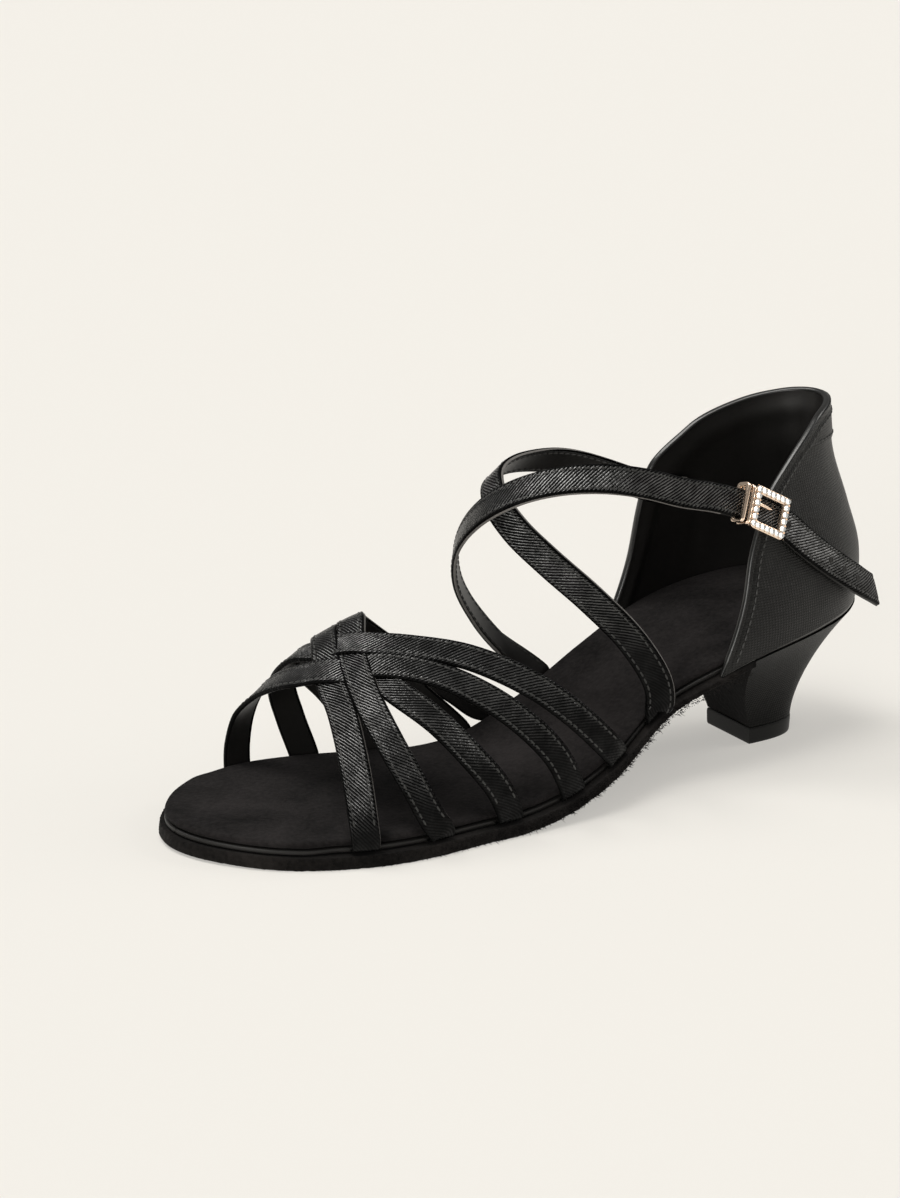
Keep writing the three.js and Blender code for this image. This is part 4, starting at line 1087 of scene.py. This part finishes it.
def fringe(size, count, seed):
    """Loose fibres of the outsole's raw edge: thin three-sided hairs that taper and bend by the
    square of their length, rooted along the edge of the sole from the breast to the toe."""
    rng = np.random.default_rng(seed)
    side = np.where(rng.random(count) < 0.66, OUTER, INNER)
    along = rng.beta(1.5, 1.9, count) * 0.7 + 0.235
    turn = turn_at(size, along * size.sole_length)
    depth = rng.uniform(0.05, 0.95, count)
    x, back = edge_on_both(size, side, turn, 0.1 * MM)
    root = place(x, back, seat_line(size, back) - depth * size.outsole_thickness)
    outward = unit(place(x, back, 0) - place(0, 0.6 * size.sole_length, 0))
    outward = unit(outward * np.array([1, 0.35, 0]) + rng.normal(0, 0.35, (count, 3)) * [0.5, 1, 0.6])
    long = rng.uniform(0.45, 1.0, count) ** 2.5 * 1.3 * MM
    long = long * (1 - 0.5 * step_up(0.66, 0.85, along))
    t = np.linspace(0, 1, 4)
    bend = rng.normal(0, 0.35, (count, 3))
    line = (
        root[:, None, :]
        + outward[:, None, :] * (long[:, None] * t)[..., None]
        + bend[:, None, :] * (long[:, None] * t**2)[..., None]
    )
    line[..., 2] = np.maximum(line[..., 2], 0.08 * MM)
    thick = np.array([0.13, 0.1, 0.06, 0.015]) * MM
    wide = unit(np.cross(outward, rng.normal(size=(count, 3))))
    deep = unit(np.cross(wide, outward))
    corners = []
    for a in (0, 2 * np.pi / 3, 4 * np.pi / 3):
        offset = wide * np.cos(a) + deep * np.sin(a)
        corners.append(line + offset[:, None, :] * thick[None, :, None])
    rings = np.stack(corners, axis=2)
    rings[..., 2] = np.maximum(rings[..., 2], 0.02 * MM)
    points = rings.reshape(-1, 3)
    one = grid_faces(4, 3, True)
    quads = (one[None] + (np.arange(count) * 12)[:, None, None]).reshape(-1, 4).tolist()
    starts = np.arange(count) * 12
    caps = np.stack([starts + 2, starts + 1, starts], axis=-1).tolist()
    tips = np.stack([starts + 9, starts + 10, starts + 11], axis=-1).tolist()
    return points, [*quads, *caps, *tips]


def outsole_rings(size):
    """The outsole from the heel's breast to the toe: it thins towards the breast by a soft step, and
    two ripples tear its walls."""
    first = float(turn_at(size, BREAST_FROM_BACK + CLEARANCE))
    stations, across = 420, 14
    turn = np.linspace(first, np.pi, stations)
    taper = 1 - 0.5 * step_up(0.5, 0.27, (1 - np.cos(turn)) / 2)
    heights = [level * size.outsole_thickness * taper for level in np.linspace(-1, 0, 9)]
    insets = np.array([0.5, 0.15, 0.0, 0.0, 0.05, 0.05, 0.1, 0.15, 0.35]) * MM
    rings = slab(size, list(zip(insets, heights)), 0, stations, across, first)
    wall = len(insets)
    middle = rings.mean(axis=1, keepdims=True)
    outward = unit((rings - middle) * np.array([1, 1, 0]))
    rough = np.zeros(rings.shape[1])
    rough[:wall] = 1
    rough[wall + across : 2 * wall + across] = 1
    torn = 0.6 * ripple(rings, 2.2 * MM, 3) + 0.5 * ripple(rings, 0.8 * MM, 4)
    waist = step_up(0.22, 0.27, (TIP_CENTRE_FROM_BACK - rings[..., 1]) / size.sole_length)
    rings = rings + outward * (rough * 0.32 * MM * torn * waist)[..., None]
    rings[..., 2] = np.maximum(rings[..., 2], 0)
    return rings


def insole_rings(size):
    """The insole's board, with its edge rounded over five layers."""
    rounding = ((0.6, 0), (0.1, 0.2), (0, 0.5), (0.1, 0.8), (0.6, 1))
    layers = [
        (INSOLE_INSET + inset * MM, CLEARANCE + share * size.insole_thickness) for inset, share in rounding
    ]
    return slab(size, layers, 0, 240, 4, wider=INSOLE_WIDER)


def sock_rings(size):
    """The padded sock: a rounded edge and a crown, which two ripples and the creases settle, most
    in its middle and not at all at its edge."""
    low = size.insole_thickness + 2 * CLEARANCE
    roll = np.radians(np.linspace(-60, 90, 9))
    insets = INSOLE_INSET + 0.1 * MM + 1.1 * MM * (1 - np.cos(roll))
    heights = low + size.sock_thickness * (0.5 + 0.5 * np.sin(roll))
    layers = [(INSOLE_INSET + 0.9 * MM, low), *zip(insets, heights)]
    across = 56
    rings = slab(size, layers, 0.6 * MM, 320, across, wider=SOCK_WIDER)
    flat = rings[:, len(layers) : len(layers) + across]
    share = np.linspace(0, 1, across)[None, :]
    settle = 0.16 * MM * ripple(flat, 32 * MM, 11) + 0.07 * MM * ripple(flat, 9 * MM, 12)
    settle = settle + sock_creases(flat)
    flat[..., 2] += settle * (4 * share * (1 - share)) ** 0.5
    return rings


class SHOE_OT_sole(bpy.types.Operator):
    """Adds the outsole with its raw edge, the insole and the padded sock"""

    bl_idname = "dance_shoe.sole"
    bl_label = "Sole"

    def execute(self, context):
        size = context.scene.dance_shoe_sizes
        looks = materials(context)
        outsole = add_piece("suede_outsole", *tube(outsole_rings(size)), [looks["sole_suede"]])
        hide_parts("outsole")
        fibres = add_piece("edge_fibres", *fringe(size, FIBRE_COUNT, 7), [looks["sole_suede"]])
        insole = add_piece("insole_board", *tube(insole_rings(size)), [looks["coated_lining"]])
        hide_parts("insole")
        sock = add_piece("padded_sock", *tube(sock_rings(size)), [looks["sock_microfibre"]])
        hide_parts("sock")
        return {"FINISHED"}


def tip_outline(share):
    """The heel tip's outline: a straight breast and a blunt rounded back."""
    a = np.pi * share
    x = TIP_WIDTH / 2 * np.sign(np.cos(a)) * np.abs(np.cos(a)) ** 0.72
    return x, TIP_SETBACK + TIP_DEPTH * (1 - np.maximum(np.sin(a), 0) ** 0.72)


def heel_rings(size):
    """The heel block from its foot to the seat, and which of its columns are the breast. The tip's
    outline grows into the seat's: sideways with the height to the power 1.8, and to the back with a
    power from 1.05 at the breast to 1.8 at the back. A sine hollows the breast."""
    share = np.concatenate([[0, 0.004], np.linspace(0.02, 0.98, 97), [0.996, 1]])
    h = np.linspace(0, 1, 46)[:, None]
    around = 1 - np.abs(2 * share - 1)
    turn = turn_at(size, BREAST_FROM_BACK) * (1 - around)
    side = np.where(share <= 0.5, OUTER, INNER)
    top_x, top_back = edge_on_both(size, side, turn, 0.2 * MM)
    tip_x, tip_back = tip_outline(share)
    x = tip_x + (top_x - tip_x) * h**1.8
    back = tip_back + (top_back - tip_back) * h ** (1.05 + 0.75 * around)
    foot = size.tip_height + CLEARANCE
    z = foot + (seat_line(size, top_back) - foot) * h
    rings = place(x, back, z)
    breast = np.linspace(0, 1, 14)[1:-1][None, :, None]
    front = rings[:, -1:] * (1 - breast) + rings[:, :1] * breast
    front[..., 1] += 0.9 * MM * np.sin(np.pi * breast[..., 0]) * (0.3 + 0.7 * h)
    rings = np.concatenate([rings, front], axis=1)
    return rings, np.arange(rings.shape[1]) >= len(share) - 1


def tip_rings(size):
    """The heel tip: its outline, a little narrower at the floor and at its upper rim."""
    levels = np.array([0, 0.06, 0.2, 0.5, 0.8, 0.94, 1]) * size.tip_height
    spread = np.array([0.975, 0.992, 1, 1.006, 1.012, 1.008, 0.99])
    x, back = tip_outline(np.linspace(0, 1, 97))
    middle = TIP_CENTRE_FROM_BACK
    return place(x * spread[:, None], middle + (back - middle) * spread[:, None], levels[:, None])


class SHOE_OT_heel(bpy.types.Operator):
    """Adds the covered heel block and its tip"""

    bl_idname = "dance_shoe.heel"
    bl_label = "Heel"

    def execute(self, context):
        size = context.scene.dance_shoe_sizes
        looks = materials(context)
        # The breast gets a dark dull suede as painted shade, the sides and the back satin.
        rings, shaded_breast = heel_rings(size)
        covers = [looks["heel_satin_painted_shade"], looks["breast_painted_shade"]]
        ends = np.zeros(2 * len(shaded_breast), bool)
        chosen = np.concatenate([np.tile(shaded_breast, len(rings) - 1), ends])
        cover = add_piece("heel_cover", *tube(rings), covers, chosen=chosen, sharp=30)
        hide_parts("heel")
        tip = add_piece("rubber_tip", *tube(tip_rings(size)), [looks["hard_rubber"]], sharp=50)
        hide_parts("heel_tip")
        return {"FINISHED"}


def nearest_on(points, surface, normals):
    """Points dropped onto a surface: each moves to the plane of the closest surface point."""
    flat, facing = surface.reshape(-1, 3), normals.reshape(-1, 3)
    closest = np.array([np.argmin(((flat - p) ** 2).sum(axis=1)) for p in points])
    n = facing[closest]
    gap = ((points - flat[closest]) * n).sum(axis=1, keepdims=True)
    return points - n * gap, n


def cup_walls(size, half_columns, rows):
    """The cup's outer and inner walls with the grid that they stand on. Soft steps lift the tab and
    the lap of the edge and draw the foot in, bell curves press the furrow under the edge and swell
    the padded collar inside, and ripples and creases make both walls uneven."""
    back, up, side = cup_grid(size, half_columns, rows)
    base = cup_surface(size, back, up, side, np.zeros_like(back))
    v = np.linspace(0, 1, rows)[None, :]
    tall = np.linalg.norm(base[:, -1] - base[:, 0], axis=1)[:, None]
    to_edge = (1 - v) * tall
    ahead = np.abs(base[..., 0])
    level = base[..., 2] - 0.1 * ahead
    tab_line = size.seat_height + size.cup_height - size.tab_height
    tab = step_up(tab_line - 0.4 * MM, tab_line + 0.4 * MM, level)
    tab = tab * (1 - step_up(17 * MM, 24 * MM, ahead))
    lap = step_up(3.6 * MM, 3.2 * MM, to_edge)
    tuck_in = step_up(1.2 * MM, 0, v * tall) ** 2
    out = 0.5 * MM * tab - 0.3 * MM * tuck_in + 0.1 * MM * ripple(base, 26 * MM, 21)
    out = out - 0.28 * MM * np.exp(-(((to_edge - 1.9 * MM) / (0.45 * MM)) ** 2))
    creases = cup_creases(back, up, side)
    out = out + 0.06 * MM * lap + 0.5 * creases
    fade = np.clip(tall / (6 * MM), 0, 1)
    pad = 0.7 * MM * np.exp(-(((to_edge - 6 * MM) / (3.5 * MM)) ** 2))
    pad = pad + 0.15 * MM * ripple(base, 20 * MM, 22) + creases
    return {
        "outer": cup_surface(size, back, up, side, out * fade),
        "inner": cup_surface(size, back, up, side, -size.cup_wall - pad * fade),
        "back": back,
        "up": up,
        "side": side,
        "tall": tall,
        "ahead": ahead,
        "level": level,
    }


def rim_axes(size, wall):
    """The middle line of the cup's rim, with its axes out of the wall and over the rim."""
    back, up = wall["back"][:, -1:], wall["up"][:, -1:]
    top = cup_surface(size, back, up, wall["side"], np.full_like(back, -size.cup_wall / 2))[:, 0]
    face = unit(wall["outer"][:, -1] - wall["inner"][:, -1])
    return top, face, unit(np.cross(unit(np.gradient(top, axis=0)), face))


def cup_rim(size, wall):
    """The bound edge: an oval bead along the middle of the cup's rim, thinner where the cup is low."""
    top, face, over = rim_axes(size, wall)
    turn = np.linspace(0, 2 * np.pi, 14, endpoint=False)
    thick = 0.54 * size.cup_wall * np.clip(wall["tall"] / (4 * MM), 0.25, 1)
    return (
        top[:, None, :]
        + face[:, None, :] * (thick * np.cos(turn))[..., None]
        + over[:, None, :] * (0.6 * thick * np.sin(turn))[..., None]
    )


def cup_stitch_row(size, wall, row, laid_flat):
    """Stitches along a row of points that is dropped onto the cup's outer face, where laid_flat
    also turns each stitch into the face's plane."""
    at = row_along(row, size.stitch * CUP_STITCH_PITCH)
    centres, normals = nearest_on(pick(row, at), wall["outer"], unit(wall["outer"] - wall["inner"]))
    along = unit(pick(np.gradient(row, axis=0), at))
    if laid_flat:
        along = unit(along - normals * (along * normals).sum(axis=1, keepdims=True))
    return stitches(size, centres + normals * 0.08 * MM, along, normals)


def rim_row(size, wall):
    """The row under the bound edge, 3.1 mm inside it, without the points at the front corners."""
    edge = wall["outer"][:, -1]
    over = rim_axes(size, wall)[2]
    inward = over * np.sign((over * (wall["outer"][:, 0] - edge)).sum())
    return (edge + inward * 3.1 * MM)[4:-4]


def tab_row(size, wall):
    """The row over the tab's lower line, across the back of the cup."""
    seam = size.seat_height + size.cup_height - size.tab_height + 1.3 * MM
    columns = np.flatnonzero(wall["ahead"][:, -8] < 15 * MM)
    back, up = (
        np.array([[np.interp(seam, wall["level"][c], grid[c])] for c in columns])
        for grid in (wall["back"], wall["up"])
    )
    return cup_surface(size, back, up, wall["side"][columns], np.full_like(up, 0.5 * MM))[:, 0]


class SHOE_OT_cup(bpy.types.Operator):
    """Adds the heel cup with its lining, bound edge, back tab and stitches"""

    bl_idname = "dance_shoe.cup"
    bl_label = "Heel cup"

    def execute(self, context):
        size = context.scene.dance_shoe_sizes
        looks = materials(context)
        rows = 104
        wall = cup_walls(size, 110, rows)
        rings = np.concatenate([wall["outer"], wall["inner"][:, ::-1]], axis=1)
        layer = (np.arange(2 * rows) >= rows).astype(int)
        # The two lowest rows of the outer wall take the lighter fold, a painted highlight along the cup's
        # foot.
        layer[:2] = 2
        cup = add_piece(
            "heel_cup_shell",
            rings.reshape(-1, 3),
            grid_faces(len(rings), 2 * rows, True),
            [looks["smooth_satin"], looks["coated_lining"], looks["lower_fold_painted_highlight"]],
            chosen=np.tile(layer, len(rings) - 1),
        )
        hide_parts("heel_cup")
        binding = add_piece("bound_edge", *tube(cup_rim(size, wall)), [looks["edge_binding"]])
        seams = [
            cup_stitch_row(size, wall, rim_row(size, wall), True),
            cup_stitch_row(size, wall, tab_row(size, wall), False),
        ]
        thread_row = add_piece("cup_stitches", *join(seams)[:2], [looks["sewing_thread"]])
        return {"FINISHED"}


def join(meshes):
    """Several meshes as one: points, faces and, where they have them, map and chosen materials."""
    points, parts, *others = zip(*meshes)
    faces = []
    count = 0
    for p, part in zip(points, parts):
        faces.extend([[v + count for v in face] for face in part])
        count += len(p)
    return np.concatenate(points), faces, *(np.concatenate(other) for other in others)


def edge_rows(size, f, width, face, start):
    """Two rows of stitches along a strap, just inside its edges, on its upper face where face
    is 1 and on its lining where it is -1."""
    rows = []
    for sign in (-1, 1):
        side = sign * (width / 2 - STITCH_INSET)
        lift = face * f["deep"] / 2 * (0.92 if face > 0 else 1)
        row = f["line"] + f["across"] * side + f["out"] * lift[:, None]
        stop = f["along"][-1] - start
        at = row_along(row, size.stitch * STRAP_STITCH_PITCH, start, stop)
        along, out = unit(pick(f["tangent"], at)), unit(face * pick(f["out"], at))
        rows.append(stitches(size, pick(row, at) + out * 0.02 * MM, along, out))
    return rows


def strap_layers(looks):
    """A strap's materials: its face, its lining and the lining's lip."""
    return [looks["woven_rib_satin"], looks["coated_lining"], looks["painted_lip_highlight"]]


class SHOE_OT_vamp(bpy.types.Operator):
    """Adds the five woven straps over the toes"""

    bl_idname = "dance_shoe.vamp"
    bl_label = "Vamp straps"

    def execute(self, context):
        size = context.scene.dance_shoe_sizes
        looks = materials(context)
        made = [strap_mesh(vamp_path(size, t), size.strap_width) for t in VAMP_STRAPS]
        points, faces, uv, chosen = join([m[:4] for m in made])
        straps = add_piece("woven_straps", points, faces, strap_layers(looks), uv, chosen)
        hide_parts("vamp_straps")
        rows = []
        for *_, f in made:
            rows += edge_rows(size, f, size.strap_width, 1, 9 * MM)
        sewn = add_piece("vamp_stitches", *join(rows)[:2], [looks["sewing_thread"]])
        return {"FINISHED"}


def punched_holes(f, looks):
    """Holes punched through the buckled strap, each a dark dish with a pressed rim."""
    turn = np.linspace(0, 2 * np.pi, 14, endpoint=False)
    radius = np.array([1.15, 0.95, 0.72, 0.6, 0.2]) * MM
    height = np.array([0.0, 0.11, 0.12, 0.03, 0.02]) * MM
    rings = turned_rings(radius, height, turn)
    places = f["along"][-1] - HOLES_BEFORE_TAIL
    at = np.interp(places, f["along"], np.arange(len(f["along"])))
    along, out = unit(pick(f["tangent"], at)), unit(pick(f["out"], at))
    centres = pick(f["line"], at) + out * 0.8 * MM
    frames = np.stack([along, np.cross(out, along), out], axis=1)
    points, faces = scatter(*tube(rings), centres, frames)
    holes = add_piece("strap_holes", points, faces, [looks["coated_lining"]])


class SHOE_OT_instep(bpy.types.Operator):
    """Adds the buckled strap with its holes, the cross strap and the stitches of both"""

    bl_idname = "dance_shoe.instep"
    bl_label = "Instep straps"

    def execute(self, context):
        size = context.scene.dance_shoe_sizes
        looks = materials(context)
        straps = (
            ("buckled_strap_satin", buckled_path(size), "buckled_strap"),
            ("cross_strap_satin", cross_path(size), "cross_strap"),
        )
        rows = []
        for name, path, replaced in straps:
            slant = TAIL_SLANT if replaced == "buckled_strap" else 0
            points, faces, uv, chosen, f = strap_mesh(path, size.ankle_strap_width, slant=slant)
            if replaced == "buckled_strap":
                # The lining's lip ends at the buckle.
                count = (len(points) - 2) // len(f["along"])
                late = f["along"][:-1] > f["along"][-1] - LIP_ENDS_BEFORE_TAIL
                late = np.flatnonzero(np.repeat(late, count))
                chosen[late] = np.minimum(chosen[late], 1)
            strap = add_piece(name, points, faces, strap_layers(looks), uv, chosen)
            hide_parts(replaced)
            for face in (-1, 1):
                rows += edge_rows(size, f, size.ankle_strap_width, face, 5 * MM)
            if replaced == "buckled_strap":
                punched_holes(f, looks)
        sewn = add_piece("strap_stitches", *join(rows)[:2], [looks["sewing_thread"]])
        return {"FINISHED"}


def buckle_frame(size):
    """The buckle's place on its strap and its axes along, across and out."""
    points, normals, _ = buckled_path(size)
    index = len(points) - len(BUCKLED_STRAP_ON_CUP["up"]) - len(BUCKLED_STRAP_TAIL["up"]) - 1
    along = unit(points[index + 1] - points[index - 1])
    out = unit(normals[index] - along * np.dot(normals[index], along))
    return points[index], np.stack([along, np.cross(out, along), out])


def rounded_loop(long, high, radius, per=6):
    """A rectangle's outline with round corners, as points in the buckle's plane."""
    turn = np.linspace(0, np.pi / 2, per)
    parts = []
    for k, (sx, sy) in enumerate(((1, 1), (-1, 1), (-1, -1), (1, -1))):
        a = turn + k * np.pi / 2
        x = sx * (long / 2 - radius) + radius * np.cos(a)
        y = sy * (high / 2 - radius) + radius * np.sin(a)
        parts.append(np.stack([x, y], axis=-1))
    return np.concatenate(parts)


def bar_loop(outline_points, half_width, height, axes):
    """A closed bar along an outline: a section with soft corners, carried round it. The section
    lies between the outline moved in and out by half its width."""
    ahead = unit(np.roll(outline_points, -1, axis=0) - np.roll(outline_points, 1, axis=0))
    outward = np.stack([ahead[:, 1], -ahead[:, 0]], axis=-1)
    turn = np.linspace(0, 2 * np.pi, 16, endpoint=False)
    wide = np.sign(np.cos(turn)) * np.abs(np.cos(turn)) ** 0.45 * half_width
    tall = np.sign(np.sin(turn)) * np.abs(np.sin(turn)) ** 0.45 * height / 2
    flat = outline_points[:, None, :] + outward[:, None, :] * wide[None, :, None]
    local = np.concatenate([flat, np.broadcast_to(tall[None, :, None], (*flat.shape[:2], 1))], axis=-1)
    rings = np.concatenate([local, local[:1]])
    return rings.reshape(-1, 3) @ axes, grid_faces(len(rings), 16, True).tolist()


def stone_places(size, long, high):
    """Places side by side on the middle of the frame's bars, in the buckle's plane."""
    pitch = size.stone * 1.06
    across_count, up_count = (max(3, round(bar / pitch)) for bar in (long, high))
    x = np.linspace(-long / 2, long / 2, across_count + 1)
    y = np.linspace(-high / 2, high / 2, up_count + 1)[1:-1]
    bars = [np.stack([x, np.full_like(x, s * high / 2)], axis=-1) for s in (1, -1)]
    bars += [np.stack([np.full_like(y, s * long / 2), y], axis=-1) for s in (1, -1)]
    return np.concatenate(bars)


def on_frame(rings, places, spot, axes, height):
    """Copies of a small form at places in the buckle's plane, at one height over it."""
    centres = spot + places @ axes[:2] + axes[2] * height
    return scatter(*tube(rings), centres, np.repeat(axes[None], len(centres), axis=0))


def stone_rings(size):
    """A cut stone: an upright girdle, eight facets turned by half a step, and a flat table."""
    radius = np.array([1, 1, 0.62, 0]) * size.stone / 2
    height = np.array([0, 0.3, 0.85, 0.85]) * MM
    twist = np.array([0, 0, np.pi / 8, 0])[:, None]
    return turned_rings(radius, height, np.linspace(0, 2 * np.pi, 8, endpoint=False) + twist)


def bead_rings():
    """A small four-sided bead that holds the stones."""
    radius = 0.12 * MM * np.array([1, 0.9, 0.3])
    height = np.array([0, 0.3, 0.4]) * MM
    return turned_rings(radius, height, np.linspace(0, 2 * np.pi, 4, endpoint=False))


def loop_bars(size, spot, axes, under):
    """The loop: two bars that stand on edge round the strap, just in front of the frame."""
    bar = 1.2 * MM
    drop = size.strap_thickness + 1 * MM
    path = rounded_loop(drop + bar, size.ankle_strap_width + 4 * CLEARANCE + bar, bar / 2)
    upright = np.stack([axes[2], axes[1], axes[0]])
    bars = []
    for shift in (0.5, 2.7):
        points, faces = bar_loop(path, bar / 2, bar, upright)
        middle = -size.buckle_length / 2 - shift * MM
        points = points + spot + axes[0] * middle + axes[2] * (under - drop / 2 + 0.1 * MM)
        bars.append((points, faces))
    return join(bars)


def pin_rings(size, under):
    """The prong: a round pin from the frame's inner side that thins to its tip."""
    turn = np.linspace(0, 2 * np.pi, 12, endpoint=False)
    t = np.linspace(0, 1, 12)
    radius = np.interp(t, [0, 0.1, 0.8, 1], [0.5, 0.55, 0.45, 0.12]) * MM
    start = size.buckle_rim - size.buckle_length / 2 + CLEARANCE
    wide = 1.2 * MM + radius[:, None] * np.cos(turn)
    tall = under + 0.55 * MM + radius[:, None] * np.sin(turn)
    run = np.broadcast_to((start + t * 5.2 * MM)[:, None], wide.shape)
    return np.stack([run, wide, tall], axis=-1)


class SHOE_OT_buckle(bpy.types.Operator):
    """Adds the buckle with its stones, loop and prong"""

    bl_idname = "dance_shoe.buckle"
    bl_label = "Buckle"

    def execute(self, context):
        size = context.scene.dance_shoe_sizes
        looks = materials(context)
        plate_metal = [looks["rose_gold_plate"]]
        spot, axes = buckle_frame(size)
        under = size.strap_thickness / 2 + 1.5 * CLEARANCE
        rim = size.buckle_rim
        long, high = size.buckle_length - rim, size.buckle_height - rim
        deep = 1.5 * MM
        points, faces = bar_loop(rounded_loop(long, high, 0.5 * MM), rim / 2, deep, axes)
        points = points + spot + axes[2] * (under + deep / 2)
        plate = add_piece("buckle_frame", points, faces, plate_metal)
        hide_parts("buckle")

        # The stones are sunk a little into the frame, and a bead stands at each of their corners.
        top = under + deep - 0.1 * MM
        places = stone_places(size, long, high)
        gems = on_frame(stone_rings(size), places, spot, axes, top)
        stones = add_piece("buckle_stones", *gems, [looks["foiled_glass_stone"]], sharp=10)
        corners = np.array([[1, 1], [1, -1], [-1, 1], [-1, -1]]) * size.stone * 0.5
        places = (places[:, None, :] + corners[None]).reshape(-1, 2)
        holders = add_piece("stone_beads", *on_frame(bead_rings(), places, spot, axes, top), plate_metal)

        loop = add_piece("buckle_loop", *loop_bars(size, spot, axes, under), plate_metal)
        points, faces = tube(pin_rings(size, under))
        prong = add_piece("buckle_pin", points @ axes + spot, faces, plate_metal)
        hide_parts("buckle_prong")
        return {"FINISHED"}


class SHOE_PT_panel(bpy.types.Panel):
    """Lists the shoe's sizes, colours and pieces"""

    bl_idname = "SHOE_PT_panel"
    bl_label = "Dance shoe"
    bl_space_type = "VIEW_3D"
    bl_region_type = "UI"
    bl_category = "Dance shoe"

    def draw(self, context):
        layout = self.layout
        for group in (context.scene.dance_shoe_sizes, context.scene.dance_shoe_colours):
            box = layout.box()
            for name in group.__annotations__:
                box.prop(group, name)
        for operator in OPERATORS:
            layout.operator(operator.bl_idname)


OPERATORS = (
    SHOE_OT_stage,
    SHOE_OT_sole,
    SHOE_OT_heel,
    SHOE_OT_cup,
    SHOE_OT_vamp,
    SHOE_OT_instep,
    SHOE_OT_buckle,
)
CLASSES = (DanceShoeSizes, DanceShoeColours, *OPERATORS, SHOE_PT_panel)


def register():
    for cls in CLASSES:
        bpy.utils.register_class(cls)
    bpy.types.Scene.dance_shoe_sizes = bpy.props.PointerProperty(type=DanceShoeSizes)
    bpy.types.Scene.dance_shoe_colours = bpy.props.PointerProperty(type=DanceShoeColours)


def unregister():
    del bpy.types.Scene.dance_shoe_colours
    del bpy.types.Scene.dance_shoe_sizes
    for cls in reversed(CLASSES):
        bpy.utils.unregister_class(cls)


def main():
    register()
    bpy.ops.dance_shoe.stage()
    bpy.ops.dance_shoe.sole()
    bpy.ops.dance_shoe.heel()
    bpy.ops.dance_shoe.cup()
    bpy.ops.dance_shoe.vamp()
    bpy.ops.dance_shoe.instep()
    bpy.ops.dance_shoe.buckle()


if __name__ == "__main__":
    main()
